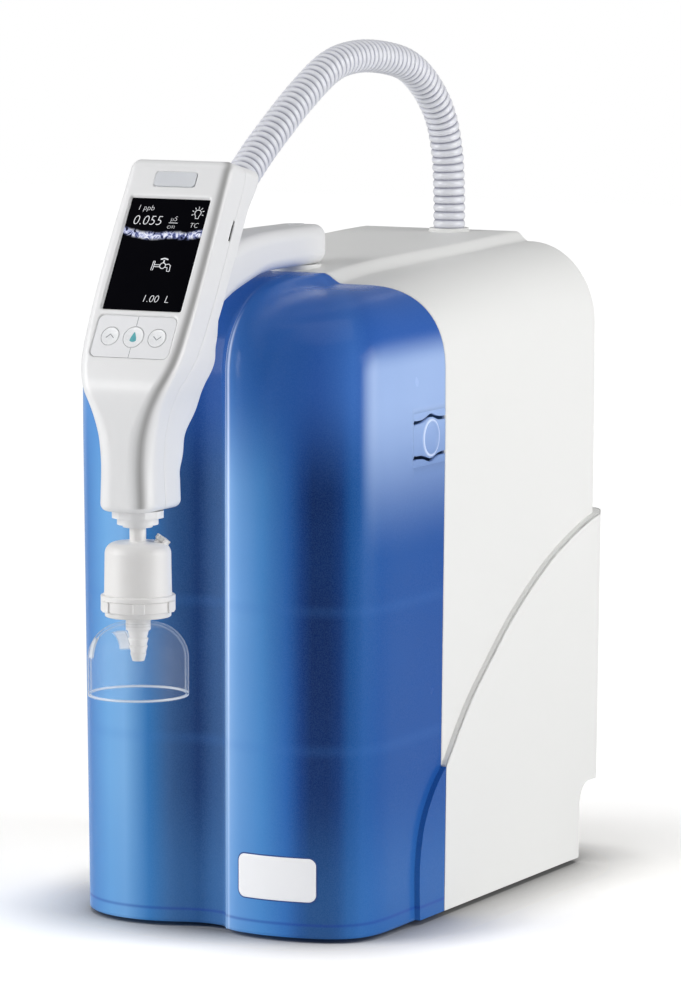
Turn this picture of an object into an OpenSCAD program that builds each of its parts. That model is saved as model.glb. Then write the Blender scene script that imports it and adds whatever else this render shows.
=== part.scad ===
// Benchtop ultrapure water system.
// A box-shaped body carries a swivelling arm, and the arm carries a dispenser
// handpiece with a display, a sterile filter capsule and a clear filling bell.
// X runs across the body, -Y is the front, +Z is up, sizes are millimetres.
// All modules draw in the seam frame: y = 0 is the joint between the front
// cover and the rear housing, z = 0 is the lower edge of both. in_frame()
// moves them so that the origin lies under the middle of the whole object.

/* [Body] */
// Width of the body across its upper side walls
body_w = 224; // [216:1:236]
// Depth of the housing behind the seam, to its upper rear face
housing_d = 228; // [222:1:240]
// Depth of the front cover ahead of the seam
cover_d = 118; // [114:1:120]
// Height of the shoulders at the seam
shoulder_h = 392; // [389:1:392]
// Rise of the shoulders from the seam to the rear
shoulder_rise = 12.7; // [8:0.1:13]
// Height of the middle plateau over the shoulders
plateau_h = 6.3; // [5:0.1:6.4]
// Lean of each side wall towards the bottom
side_lean = 3.5; // [2:0.1:4]
// Height of the moulded step of the lower side panels
step_out = 3.5; // [2.5:0.1:4.5]
// Wall thickness of the rear housing
housing_wall = 3; // [2.5:0.1:3.5]
// Wall thickness of the front cover
cover_wall = 2.5; // [2:0.1:3]
// Gap between cover and housing at the seam
seam_gap = 0.6; // [0.4:0.1:0.9]
// Height of the rubber feet below the body
foot_h = 3; // [2:0.5:5]
// Diameter of a rubber foot
foot_d = 20; // [14:1:24]

/* [Rear panel] */
// Width of the service panel in the rear face
panel_w = 168; // [160:1:176]
// Height of the service panel
panel_h = 156; // [150:1:160]
// Thickness of the service panel
panel_t = 2; // [1.5:0.1:2.5]
// Diameter of the rear water fittings at their collar
fitting_d = 16; // [14:0.5:18]
// Outside diameter of the water tubes
tube_d = 8; // [6:0.5:8]

/* [Arm] */
// Width of the support arm
arm_w = 36; // [34:1:38]
// Diameter of the swivel pin
pin_d = 16; // [12:1:18]
// Radial running clearance of the swivel pin in its bush
pin_fit = 0.05; // [0.02:0.01:0.1]
// Diameter of the turret under the arm
turret_d = 31; // [28:1:32]

/* [Handpiece] */
// Width of the head that holds the display
head_w = 70; // [68:1:74]
// Width of the handle
handle_w = 36; // [34:1:38]
// Wall thickness of the handpiece shells
shell_wall = 2.5; // [2.2:0.1:2.8]
// Width of the display window
display_w = 53.6; // [50:0.2:55]
// Length of the display window
display_l = 74.9; // [70:0.2:75]
// Width of the keypad panel
keypad_w = 53.4; // [50:0.2:55]
// Height of the keypad panel
keypad_l = 27.6; // [24:0.2:28]
// Diameter of the dispense button
dispense_d = 13.6; // [12:0.2:14]
// Diameter of the arrow buttons
arrow_d = 11.8; // [10:0.2:12]
// Travel of the buttons
button_travel = 1.2; // [0.8:0.1:1.2]
// Gap round each button
button_gap = 0.3; // [0.3:0.05:0.4]

/* [Outlet] */
// Diameter of the bayonet collar under the handle
collar_d = 32; // [30:0.5:33]
// Diameter of the filter capsule body
capsule_d = 40; // [36:0.5:42]
// Diameter of the capsule flange
flange_d = 45; // [43:0.5:48]
// Diameter of the filling bell at its rim
bell_d = 61; // [58:0.5:64]
// Wall thickness of the filling bell
bell_wall = 1.6; // [1.2:0.1:2]

/* [Hose] */
// Outer diameter of the ribbed dispenser hose
hose_d = 21.2; // [20:0.2:22]
// Bore of the ribbed dispenser hose
hose_bore = 15; // [13:0.2:16]
// Depth of the grooves between the ribs
rib_depth = 1.5; // [1:0.1:1.8]

/* [Inside] */
// Diameter of the purification cartridge
cartridge_d = 50; // [46:1:52]
// Length of the purification cartridge body
cartridge_l = 262; // [250:1:264]
// Thickness of the base plate
base_t = 3; // [2.5:0.1:3.5]
// Thickness of the bulkhead behind the cartridge bay
bulkhead_t = 3; // [2.5:0.1:3.5]
// Diameter of the ultraviolet reactor tube
reactor_d = 44; // [40:1:48]

/* [Hidden] */

// General fits
seat_gap = 0.3;
half_w = body_w / 2;
rear_step = 8;
rear_y = housing_d + rear_step;
corner_h = 52;
lean_top = 300;
plateau_z = shoulder_h + plateau_h;
rear_shoulder_z = shoulder_h + shoulder_rise;

// The face frame of the handpiece: its origin is the middle of the display's
// upper edge, local y runs up the face and local z points out of it.
face_y = -149;
face_z = 453.5;
face_tilt = 30.5;
head_t = 41.8;
handle_z = 269;
handle_y = -187.3;
handle_t = 53.4;
grip_swell = 10;
grip_wave = 1.5;
head_top_z = 475;
shell_flat = shell_wall + 0.1;

// The outlet axis and the heights of what hangs on it
outlet_y = -191.5;
collar_z = handle_z - 4.6;
ring_z = collar_z - 4.2;
capsule_z = handle_z - 19.3;
flange_z = capsule_z - 32;
disc_z = flange_z - 9.7;
neck_z = disc_z - 3.6;
bell_top_z = neck_z - 3.9;
bell_rim_z = bell_top_z - 44.5;
barb_z = neck_z - 27.2;
spigot_r = 8;
neck_r = 7.5;

// The swivel axis of the arm lies just behind the seam.
top_base = 392;
top_rise = shoulder_h - top_base;
swivel_y = 16;
turret_z = 402.2;
arm_z = turret_z + seat_gap;
arm_top_z = 427;
pin_top_z = 419;

// Frame: front-most point is the bell, rear-most is the stepped rear face.
front_y = outlet_y - bell_d / 2;
frame_y = -(front_y + rear_y) / 2;
eps = 0.01;

module in_frame() {
    translate([0, frame_y, foot_h]) children();
}

// The arm and all that it carries are drawn over shoulders at top_base, and
// rise with the shoulders.
module in_top_frame() {
    translate([0, frame_y, foot_h + top_rise]) children();
}

module on_face() {
    translate([0, face_y, face_z]) rotate([90 - face_tilt, 0, 0]) children();
}

// ---- Helpers for lines and lofts ----

function mix(a, b, t) = a + (b - a) * t;
function ease(t) = let (u = max(0, min(1, t))) u * u * (3 - 2 * u);

// Catmull-Rom curve through points, with n steps in each span
function curve_at(p, i, u) =
    let (k = len(p) - 1,
        a = p[max(i - 1, 0)], b = p[i], c = p[min(i + 1, k)], d = p[min(i + 2, k)])
    0.5 * (2 * b + (c - a) * u + (2 * a - 5 * b + 4 * c - d) * u * u
        + (3 * b - a - 3 * c + d) * u * u * u);
function curve(p, n) =
    [for (i = [0:len(p) - 2]) for (j = [0:n - 1]) curve_at(p, i, j / n), p[len(p) - 1]];

// A rounded rectangle of half sizes a and b round (cx, cy), as 4 arcs of n steps
function round_ring(cx, cy, a, b, r, n) =
    [for (q = [0:3]) for (j = [0:n])
        let (t = 90 * q + 90 * j / n,
            sx = (q == 0 || q == 3) ? 1 : -1,
            sy = q < 2 ? 1 : -1)
        [cx + sx * (a - r) + r * cos(t), cy + sy * (b - r) + r * sin(t)]];

// A closed solid through rings that have the same number of points
module loft(rings) {
    n = len(rings[0]);
    m = len(rings);
    polyhedron(
        points = [for (ring = rings) for (p = ring) p],
        faces = concat(
            [[for (i = [0:n - 1]) i]],
            [for (k = [0:m - 2]) for (i = [0:n - 1])
                let (a = k * n + i, b = k * n + (i + 1) % n)
                [a, a + n, b]],
            [for (k = [0:m - 2]) for (i = [0:n - 1])
                let (a = k * n + i, b = k * n + (i + 1) % n)
                [b, a + n, b + n]],
            [[for (i = [n - 1:-1:0]) (m - 1) * n + i]]),
        convexity = 6);
}

module rod(r, z0, z1) {
    translate([0, 0, z0]) cylinder(r = r, h = z1 - z0, $fn = 48);
}

module ring(r_out, r_in, z0, z1) {
    difference() {
        rod(r_out, z0, z1);
        rod(r_in, z0 - 1, z1 + 1);
    }
}

module block(x0, x1, y0, y1, z0, z1) {
    translate([x0, y0, z0]) cube([x1 - x0, y1 - y0, z1 - z0]);
}

// ---- Outline of the body ----

function wall_x(z) = half_w - side_lean * (1 - min(1, z / lean_top));

// Upper outline of the housing at share t of its depth, drawn inset by i
function crown(t, i) =
    let (e = 1 - pow(1 - t, 2),
        n = mix(2.4, 2, e),
        xc = half_w - mix(56, 46, e),
        zs = mix(shoulder_h, rear_shoulder_z, e),
        w = ease(t * 1.5),
        foot = mix(40, 64, w),
        top = mix(27.5, 55, w))
    concat(
        [for (f = [0:15:90])
            [xc + (half_w - i - xc) * pow(cos(f), 2 / n),
                zs - corner_h + (corner_h - i) * pow(sin(f), 2 / n)]],
        [[foot, zs - i + 0.3],
            [mix(foot, top, 0.3), zs - i + plateau_h * 0.22],
            [mix(foot, top, 0.7), zs - i + plateau_h * 0.8],
            [top, zs - i + plateau_h - 0.2],
            [0, zs - i + plateau_h]]);

function body_ring(y, t, i, floor_z) =
    let (up = crown(t, i), n = len(up),
        right = concat([[wall_x(0) - i, floor_z], [half_w - i, lean_top]], up))
    concat(
        [for (p = right) [-p[0], y, p[1]]],
        [for (k = [len(right) - 2:-1:0]) [right[k][0], y, right[k][1]]]);

// Moulded step line of the lower side panels, in (y, z)
step_line = curve([[0, 92], [30, 124.5], [60, 149], [100, 177.5], [150, 204],
    [200, 221.5], [rear_y, 229]], 4);
step_top = 229;
step_on_cover = curve([[0, 92], [-10, 84.5], [-20, 74], [-29, 60], [-34, 43],
    [-35.4, 25], [-34, 0]], 3);

// Keeps what lies under the leaning outer plane of the lower side panels
module side_planes(y0, y1) {
    out_top = half_w + step_out - 0.5;
    translate([0, y1, 0]) rotate([90, 0, 0])
        linear_extrude(y1 - y0)
            polygon([[-half_w, 0], [half_w, 0], [out_top, step_top + 6], [-out_top, step_top + 6]]);
}

// A closed solid from a side outline in (y, z), spanning x0 to x1
module side_cut(points, x0, x1) {
    translate([x0, 0, 0]) rotate([90, 0, 90]) linear_extrude(x1 - x0) polygon(points);
}

module plan_round(x, y0, y1, z0, z1, r) {
    translate([0, 0, z0]) linear_extrude(z1 - z0) hull() {
        for (s = [-1, 1]) {
            translate([s * (x - r), y1 - r]) circle(r, $fn = 32);
            translate([s * (x - r), y0 + r]) square(2 * r, center = true);
        }
    }
}

rear_edge = 5;
notch_y = 203;
notch_z = 49.5;
notch_round = 14;
panel_z = 58;
pad_z = turret_z - 2.5;
pad_r = swivel_y - seam_gap;
gland_x = 14;
gland_y = 207;
gland_z = rear_shoulder_z + plateau_h + 0.8;
gland_neck_r = 9;

module rear_housing() color("whitesmoke") in_frame() difference() {
    union() {
        loft(concat(
            [for (y = [0, 9, 20, 34, 50, 70, 95, 125, 160, 195, housing_d - rear_edge])
                body_ring(max(y, seam_gap), y / housing_d, 0, 0)],
            [for (f = [30:30:90])
                body_ring(housing_d - rear_edge * (1 - sin(f)), 1, rear_edge * (1 - cos(f)), 0)]));
        intersection() {
            side_cut(concat([[seam_gap, 0]], [for (p = step_line) [max(p[0], seam_gap), p[1]]],
                [[rear_y, 0]]), -half_w - 10, half_w + 10);
            side_planes(0, rear_y);
            plan_round(half_w + step_out, -20, rear_y, -1, step_top + 5, 9);
        }
        translate([0, swivel_y, top_rise]) rod(pad_r, top_base - 4, pad_z);
        translate([gland_x, gland_y, 0]) rod(hose_d / 2 + 3, rear_shoulder_z - 1, gland_z);
    }
    // the hollow: open at the seam and below
    difference() {
        union() {
            loft([for (y = [-1, 20, 50, 95, 160, housing_d - housing_wall])
                body_ring(y, max(0, y) / housing_d, housing_wall, -1)]);
            block(-half_w + 9, half_w - 9, 60, rear_y - housing_wall, -1, step_top - 14);
        }
        notch_shape(housing_wall);
        translate([0, swivel_y, top_rise]) rod(pad_r, top_base - 4, pad_z);
        translate([gland_x, gland_y, 0]) rod(hose_d / 2 + 3, rear_shoulder_z - 4, gland_z);
        for (s = [-1, 1]) for (y = boss_ys) translate([s * boss_x, y, 0])
            rod(6.5, base_z + base_t, base_z + base_t + 18);
    }
    // clearance below the rear for tubes and cables
    notch_shape(0);
    for (x = [feed_x, drain_x]) translate([x, 0, fitting_z]) rotate([-90, 0, 0])
        rod(fitting_d / 2 - 1.9, notch_y - 10, notch_y + 10);
    // the window of the service panel
    block(-panel_w / 2 + 6, panel_w / 2 - 6, housing_d, rear_y + 1, panel_z + 6,
        panel_z + panel_h - 6);
    // the seat of the turret, and the bores of the swivel pin, the hose and the screws
    translate([0, swivel_y, top_rise]) {
        rod(turret_d / 2 + seat_gap, pad_z, pad_z + 8);
        rod(bush_r, top_base - 20, pad_z + 1);
    }
    translate([gland_x, gland_y, 0]) rod(gland_neck_r, rear_shoulder_z - 20, gland_z + 1);
    for (s = [-1, 1]) for (y = boss_ys) translate([s * boss_x, y, 0])
        rod(1.6, base_z, base_z + base_t + 14);
    for (x = [-1, 1]) for (z = [-1, 1])
        translate([x * (panel_w / 2 - 3), rear_y + 1, panel_z + panel_h / 2 + z * (panel_h / 2 - 3)])
            rotate([90, 0, 0]) {
                rod(1.6, 0, housing_wall + 2);
                rod(screw_head_r + 0.2, 0, 1 + screw_head_t);
            }
}

// The free space below the rear face, grown by g
module notch_shape(g) {
    r = notch_round + g;
    side_cut(concat([[notch_y - g, -2]],
        [for (f = [0:15:90])
            [notch_y + notch_round - r * cos(f), notch_z - notch_round + r * sin(f)]],
        [[rear_y + 5, notch_z + g], [rear_y + 5, -2]]), -half_w - 20, half_w + 20);
}

// The panel lies against the inner side of the rear wall.
panel_y = rear_y - housing_wall - panel_t;
screw_head_r = 2.4;
screw_head_t = 1.4;
inlet_x = -52;
inlet_z = 96;
switch_x = -52;
switch_z = 134;
feed_x = 46;
drain_x = 16;
fitting_z = 26;

module rear_panel() color("gainsboro") in_frame() difference() {
    block(-panel_w / 2, panel_w / 2, panel_y, panel_y + panel_t, panel_z, panel_z + panel_h);
    block(inlet_x - 14, inlet_x + 14, panel_y - 1, rear_y, inlet_z - 11, inlet_z + 11);
    block(switch_x - 7.5, switch_x + 7.5, panel_y - 1, rear_y, switch_z - 10.5, switch_z + 10.5);
    for (k = [0:8])
        block(6, 66, panel_y - 1, rear_y, panel_z + 34 + 9 * k, panel_z + 38 + 9 * k);
    for (x = [-1, 1]) for (z = [-1, 1])
        translate([x * (panel_w / 2 - 3), rear_y + 1, panel_z + panel_h / 2 + z * (panel_h / 2 - 3)])
            rotate([90, 0, 0]) rod(1.6, 0, rear_step + 8);
}

// ---- Base ----

base_z = 1;
base_top = base_z + base_t;
boss_x = half_w - side_lean - housing_wall - 5;
boss_ys = [22, 180];
base_x = half_w - side_lean - housing_wall - 1;
base_front = -cover_d + 26;
base_rear = notch_y - housing_wall - 1;

module base_plate() color("lightgrey") in_frame() difference() {
    translate([0, 0, base_z]) linear_extrude(base_t)
        polygon([[-base_x + 3, -58], [-base_x + 26, base_front], [base_x - 26, base_front],
            [base_x - 3, -58], [base_x, 2], [base_x, base_rear], [-base_x, base_rear],
            [-base_x, 2]]);
    for (s = [-1, 1]) for (y = boss_ys) translate([s * boss_x, y, 0]) rod(1.8, 0, base_top + 1);
    for (k = [0:6]) block(-30, 30, 60 + 12 * k, 65 + 12 * k, 0, base_top + 1);
}

module feet() color("dimgrey") in_frame()
    for (s = [-1, 1]) for (y = [base_front + foot_d / 2 + 4, notch_y - foot_d / 2 - 10])
        translate([s * (base_x - foot_d / 2 - 18), y, 0]) rod(foot_d / 2, -foot_h, base_z);

module base_screws() color("silver") in_frame()
    for (s = [-1, 1]) for (y = boss_ys) translate([s * boss_x, y, 0]) {
        rod(3, base_z - 1.8, base_z);
        rod(1.5, base_z - 0.5, base_top + 11);
    }

// ---- Bulkhead: the upright wall behind the cartridge bay ----

bulkhead_y = 5;

module bulkhead() color("silver") in_frame() difference() {
    up = crown(0.02, housing_wall + 0.6);
    right = concat([[wall_x(0) - housing_wall - 0.6, base_top], [half_w - housing_wall - 0.6, lean_top]],
        [for (k = [0:6]) up[k]], [[turret_d / 2 + 6, shoulder_h - housing_wall - 0.6]],
        [[turret_d / 2 + 6, shoulder_h - 10]]);
    translate([0, bulkhead_y + bulkhead_t, 0]) rotate([90, 0, 0]) linear_extrude(bulkhead_t)
        polygon(concat(right, [for (k = [len(right) - 1:-1:0]) [-right[k][0], right[k][1]]]));
    for (s = [-1, 1]) translate([s * 62, bulkhead_y + 10, 340]) rotate([90, 0, 0]) rod(9, 0, 20);
    translate([0, bulkhead_y + 10, 60]) rotate([90, 0, 0]) rod(12, 0, 20);
}

// ---- Front cover ----

// Lower outline of the cover, full width, as (x, y) from the right seam round
// the front to the left seam. The step ridge lies between x = 13 and x = 16.
cover_plan = [[112, 0], [112, -28], [112.2, -56], [112, -76], [110.3, -89], [106.5, -98.5],
    [100.5, -105.5], [92, -111], [80, -115], [64, -117.6], [46, -118], [30, -115.2],
    [20, -111.4], [16, -108.6], [13, -105.2], [8, -102.8], [-3, -101], [-15, -103],
    [-27, -107], [-40, -109.6], [-54, -109.6], [-67, -107.2], [-79, -102.2],
    [-90, -94], [-99.5, -82.5], [-107, -66], [-111, -46], [-112, -24], [-112, 0]];
plan_w = 112;
plan_d = 118;
cap_x = 56;
cap_d = 26;

// Height of the plateau's forward run over the cover's dome at (x, y)
function run_h(x, y) =
    let (s = max(0, min(1, -y / 100)), edge = mix(33.7, 17, s), soft = mix(6.5, 10, s))
    plateau_h * (1 - ease(s)) * ease((edge + soft - abs(x)) / (2 * soft));

// One level ring of the cover: width x, depth d and height z, drawn inset by i
function cover_ring(x, d, z, i) =
    [for (p = cover_plan)
        let (px = p[0] / plan_w * x, py = p[1] / plan_d * d)
        [px, py, z + (z > shoulder_h - corner_h ? run_h(px, py) : 0)]];

function cover_rings(i) =
    concat(
        [for (z = [0, 60, 130, 200, lean_top]) cover_ring(wall_x(z) - i, cover_d - i, z, i)],
        [for (f = [0:9:90])
            cover_ring(half_w - cap_x + (cap_x - i) * pow(cos(f), 2 / 2.4),
                cap_d + (cover_d - cap_d - i) * pow(cos(f), 2 / 2.4),
                shoulder_h - corner_h + (corner_h - i) * pow(sin(f), 2 / 2.4), i)],
        [cover_ring((half_w - cap_x) * 0.75, cap_d * 0.5, shoulder_h - i, i)],
        [seam_row(shoulder_h - i)]);

// The last row lies along the seam, across the top of the dome
function seam_row(z) =
    let (k = len(cover_plan) - 1)
    [for (i = [0:k]) let (x = (half_w - cap_x) * 0.5 * cos(180 * i / k)) [x, 0, z + run_h(x, 0)]];

// The open shell: the outer and the inner surface, joined along the seam and
// the lower edge
module cover_shell() {
    outer = cover_rings(0);
    inner = cover_rings(cover_wall);
    m = len(outer);
    n = len(cover_plan);
    size = m * n;
    polyhedron(
        points = concat([for (ring = outer) for (p = ring) p],
            [for (ring = inner) for (p = ring) p]),
        faces = concat(
            [for (k = [0:m - 2]) for (i = [0:n - 2]) for (h = [0, 1])
                let (a = k * n + i)
                h == 0 ? [a, a + 1, a + n] : [a + 1, a + n + 1, a + n]],
            [for (k = [0:m - 2]) for (i = [0:n - 2]) for (h = [0, 1])
                let (a = size + k * n + i)
                h == 0 ? [a, a + n, a + 1] : [a + 1, a + n, a + n + 1]],
            [for (i = [0:n - 2]) for (h = [0, 1])
                h == 0 ? [i, i + size, i + 1] : [i + 1, i + size, i + size + 1]],
            [for (i = [0:n - 2]) for (h = [0, 1])
                let (a = (m - 1) * n + i)
                h == 0 ? [a, a + 1, a + size] : [a + 1, a + size + 1, a + size]],
            [for (k = [0:m - 2]) for (h = [0, 1])
                let (a = k * n)
                h == 0 ? [a, a + n, a + size] : [a + n, a + n + size, a + size]],
            [for (k = [0:m - 2]) for (h = [0, 1])
                let (a = k * n + n - 1)
                h == 0 ? [a, a + size, a + n] : [a + n, a + size, a + n + size]]),
        convexity = 8);
}

latch_z = 301;
latch_root = -45;
latch_h = 20;
latch_gap = 1.6;
badge_x = 54;
badge_z = 36;
badge_w = 53;
badge_l = 27;
badge_sink = 1.6;

module front_cover() color([0.16, 0.42, 0.72, 0.7]) in_frame() difference() {
    union() {
        cover_shell();
        intersection() {
            translate([0, -0.2, 0.2]) side_cut(concat([[0, 0]], step_on_cover), -half_w - 10, half_w + 10);
            side_planes(-60, 0);
            union() for (s = [-1, 1]) translate([s * (half_w + 2 - side_lean), 0, 60])
                cube([8 + side_lean, 120, 140], center = true);
        }
    }
    for (s = [-1, 1])
        translate([s * half_w, latch_root / 2 + 1, latch_z])
            cube([20, 2 - latch_root, latch_h + 2 * latch_gap], center = true);
    badge_band(badge_w + 0.6, badge_l + 0.6, 5, badge_sink, 8);
}

// A plate of outline w x l that follows the cover's front from depth d below
// its surface to height h above it
module badge_band(w, l, r, d, h) {
    points = [for (p = cover_plan) if (p[0] > badge_x - w && p[0] < badge_x + w && p[1] < -90)
        [p[0], p[1] * cover_d / plan_d]];
    intersection() {
        translate([0, 0, badge_z - l]) linear_extrude(2 * l)
            polygon(concat([for (p = points) [p[0], p[1] + d]],
                [for (k = [len(points) - 1:-1:0]) [points[k][0], points[k][1] - h]]));
        translate([badge_x, -cover_d + 20, badge_z]) rotate([90, 0, 0])
            linear_extrude(40) badge_outline(w, l, r);
    }
}

module badge_outline(w, l, r) {
    hull() for (x = [-1, 1]) for (y = [-1, 1])
        translate([x * (w / 2 - r), y * (l / 2 - r)]) circle(r, $fn = 24);
}

module cover_badge() color("white") in_frame()
    badge_band(badge_w, badge_l, 4.7, badge_sink - eps, 0.6);

// A latch tongue: rooted in the cover, its hook catches the housing's edge
module latch(s) {
    x = half_w;
    translate([s * (x - cover_wall / 2), latch_root / 2, latch_z])
        cube([cover_wall, -latch_root - 2 * seat_gap, latch_h], center = true);
    translate([s * (x - 0.4), latch_root / 2 - 2, latch_z]) rotate([0, 90 * s, 0])
        intersection() {
            rod(9.5, -1, 1.3);
            cube([18, 21, 8], center = true);
        }
}

module latch_right() color([0.16, 0.42, 0.72, 0.7]) in_frame() latch(1);
module latch_left() color([0.16, 0.42, 0.72, 0.7]) in_frame() latch(-1);

// ---- Turret and arm ----

module turret() color("white") in_top_frame() translate([0, swivel_y, 0])
    ring(turret_d / 2, bush_r, pad_z, turret_z);

module swivel_pin() color("silver") in_top_frame() translate([0, swivel_y, 0]) {
    rod(pin_d / 2, top_base - 8, pin_top_z);
    rod(pin_d / 2 + 5, top_base - 8, top_base - 4);
}

// Stations of the arm from its rear end forward: y, fall of its lower face and
// fall of its upper face
arm_stations = [[4, 0, 0], [-20, 0, -0.2], [-46, 0.5, 0], [-60, 1.9, 0.6],
    [-76, 5.5, 2], [-88, 8.5, 3.8], [-99, 11.7, 6.4], [-110, 15.9, 9.6],
    [-121, 20.9, 13.4], [-133, 26.9, 18], [-146, 33.5, 23.4], [-160, 40.5, 29]];

function arm_ring(y, z0, z1, hw, r) =
    [for (p = round_ring(0, (z0 + z1) / 2, hw, (z1 - z0) / 2, r, 4)) [p[0], y, p[1]]];

function arm_rings() =
    concat(
        [for (f = [80, 65, 50, 35, 20, 5])
            let (w = arm_w / 2 * cos(f), drop = 3.2 * pow(sin(f), 4))
            arm_ring(swivel_y + arm_w / 2 * sin(f), arm_z + drop, arm_top_z - drop * 1.6,
                w, min(8, w * 0.6))],
        [for (s = arm_stations) arm_ring(s[0], arm_z - s[1], arm_top_z - s[2], arm_w / 2, 8)]);

// The front end of the arm is cut along the back of the head and of the handle.
arm_end_y = handle_y + handle_t / 2 + grip_swell + grip_wave + 0.6;
module behind_head(gap) {
    on_face() translate([-60, -160, -120]) cube([120, 260, 120 - head_n - gap]);
}

head_n = head_t * cos(face_tilt);
bush_r = pin_d / 2 + pin_fit;
bush_wall = 2;

module support_arm() color("white") in_top_frame() difference() {
    intersection() {
        loft(arm_rings());
        union() {
            intersection() {
                behind_head(0.6);
                block(-30, 30, arm_end_y, 0, 340, 440);
            }
            block(-30, 30, -100, 60, 380, 440);
        }
    }
    translate([0, swivel_y, 0]) rod(bush_r + bush_wall, arm_z - 2, pin_top_z + 0.3);
    translate([0, swivel_y, 0]) rod(5, pin_top_z, arm_top_z + 2);
    block(-hook_w / 2, hook_w / 2, hook_tip_y, hook_root_y, hook_z, hook_z + hook_t);
}

module swivel_bush() color("dimgrey") in_top_frame() translate([0, swivel_y, 0])
    ring(bush_r + bush_wall, bush_r, arm_z, pin_top_z - 2);

module arm_cap() color("lightgrey") in_top_frame() translate([0, swivel_y, 0])
    rod(4.9, pin_top_z + 0.3, arm_top_z + 0.3);

// The hook on the arm: the handpiece hangs on it and is lifted straight off
hook_w = 15;
hook_z = 384;
hook_t = 8;
hook_lip = 5;
hook_lip_t = 3;
hook_tip_y = -154.5;
hook_root_y = -132;
hook_lift = 12;

module arm_hanger() color("silver") in_top_frame() {
    block(-hook_w / 2, hook_w / 2, hook_tip_y, hook_root_y, hook_z, hook_z + hook_t);
    block(-hook_w / 2, hook_w / 2, hook_tip_y, hook_tip_y + hook_lip_t, hook_z,
        hook_z + hook_t + hook_lip);
}

// ---- Handpiece ----

function grip_front(z) =
    let (plane = face_y - (face_z - z) * tan(face_tilt), low = handle_y - handle_t / 2)
    z > 352 ? plane : max(low, lookup(z, [[handle_z, low], [335, low], [343, low + 0.8], [352, low + 6]]));
function grip_back(z) =
    let (plane = face_y - (face_z - z) * tan(face_tilt) + head_t,
        rear = handle_y + handle_t / 2,
        low = lookup(z, [[handle_z, rear - 0.8], [292, rear], [320, rear + grip_swell - 2.4],
            [345, rear + grip_swell]]),
        wave = grip_wave * cos(360 * (z - 300) / 27) * (z < 372 ? min(1, (372 - z) / 10) : 0)
            * min(1, max(0, (z - 285) / 10)))
    max(plane, low + wave);
function grip_half(z) = handle_w / 2 + (head_w - handle_w) / 2
    * lookup(z, [[306, 0], [314, 0.06], [322, 0.16], [332, 0.34], [341, 0.57], [350, 0.77],
        [357, 0.89], [366, 0.97], [376, 1]]);
function grip_round(z) = lookup(z, [[320, 12], [350, 8], [376, 6]]);
function top_tilt(z) = 0.22 * ease((z - 440) / 30);

function grip_ring(z, i, j) =
    let (f = grip_front(z) + i, b = grip_back(z) - i)
    [for (p = round_ring(0, (f + b) / 2, grip_half(z) - i, (b - f) / 2,
            max(2, grip_round(z) - i), j))
        [p[0], p[1], z - top_tilt(z) * (p[1] - f)]];

edge = 4.5;
module grip_solid() {
    loft(concat(
        [for (f = [0:30:60]) grip_ring(handle_z + edge * (1 - cos(f)), edge * (1 - sin(f)), 4)],
        [for (z = [handle_z + edge, 280, 290, 297, 304, 311, 318, 325, 332, 339, 346, 352.5, 359, 366, 373,
            380, 400, 425, 445, 458, head_top_z - edge]) grip_ring(z, 0, 4)],
        [for (f = [30:30:90]) grip_ring(head_top_z - edge * (1 - sin(f)), edge * (1 - cos(f)), 4)]));
}

module grip_hollow() {
    loft([for (z = [handle_z + shell_wall, 300, 325, 350, 375, 400, 440, head_top_z - shell_wall - 2])
        grip_ring(z, shell_wall * 1.18, 3)]);
}

// Split line of the two shells, as (y, z), closed round the front shell
split_line = [[-188.5, handle_z - 5], [-190.5, 300], [-190.8, 332], [-189.3, 344.4], [-181, 356],
    [-150, 409], [-128, 448], [-118, 471], [-114, 490]];
module front_half() {
    side_cut(concat(split_line, [[-240, 490], [-240, handle_z - 5]]), -60, 60);
}

keypad_y = -79.2;
button_y = keypad_y - keypad_l / 2;
arrow_x = 16;
button_names = [["up", -arrow_x, arrow_d], ["dispense", 0, dispense_d], ["down", arrow_x, arrow_d]];
port_y = -11;
gland_dir = 14;
gland_e = [0, -99.9, 446.4];
gland_len = 26;
gland_r = hose_d / 2 + 2;

module at_gland() {
    translate(gland_e) rotate([-90 + gland_dir, 0, 0]) children();
}

module handpiece_front() color("white") in_top_frame() difference() {
    intersection() {
        difference() {
            grip_solid();
            grip_hollow();
        }
        front_half();
    }
    on_face() {
        translate([-display_w / 2, -display_l, -6]) cube([display_w, display_l, 10]);
        translate([0, keypad_y - keypad_l / 2, -1.4]) linear_extrude(10)
            badge_outline(keypad_w, keypad_l, 4);
        for (b = button_names) translate([b[1], button_y, 0])
            rod(b[2] / 2 + button_gap, -12, 2);
        translate([0, 12.5, -1]) linear_extrude(6) badge_outline(28.4, 9.8, 2.4);
    }
    translate([0, outlet_y, 0]) rod(spigot_r + 0.4, handle_z - 3, handle_z + 12);
    port_hole();
}

module handpiece_back() color("white") in_top_frame() difference() {
    intersection() {
        difference() {
            grip_solid();
            grip_hollow();
        }
        difference() {
            block(-60, 60, -240, -60, handle_z - 4, 490);
            front_half();
        }
    }
    // the slot over the arm's hook, long enough to lift the handpiece off
    block(-hook_w / 2 - seat_gap, hook_w / 2 + seat_gap, hook_tip_y - 6, -100,
        hook_z - hook_lift - seat_gap, hook_z + hook_t + seat_gap);
    at_gland() rod(gland_r - 2.5, -gland_len + 4, 4);
    at_gland() rod(gland_r + 0.1, -3, 4);
    translate([0, outlet_y, 0]) rod(spigot_r + 0.4, handle_z - 3, handle_z + 12);
    port_hole();
}

// The service port lies across the split between the shells
module port_hole() {
    on_face() translate([head_w / 2 - 4, port_y - 7.4, -24.4]) cube([8, 14.8, 5.3]);
}

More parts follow.
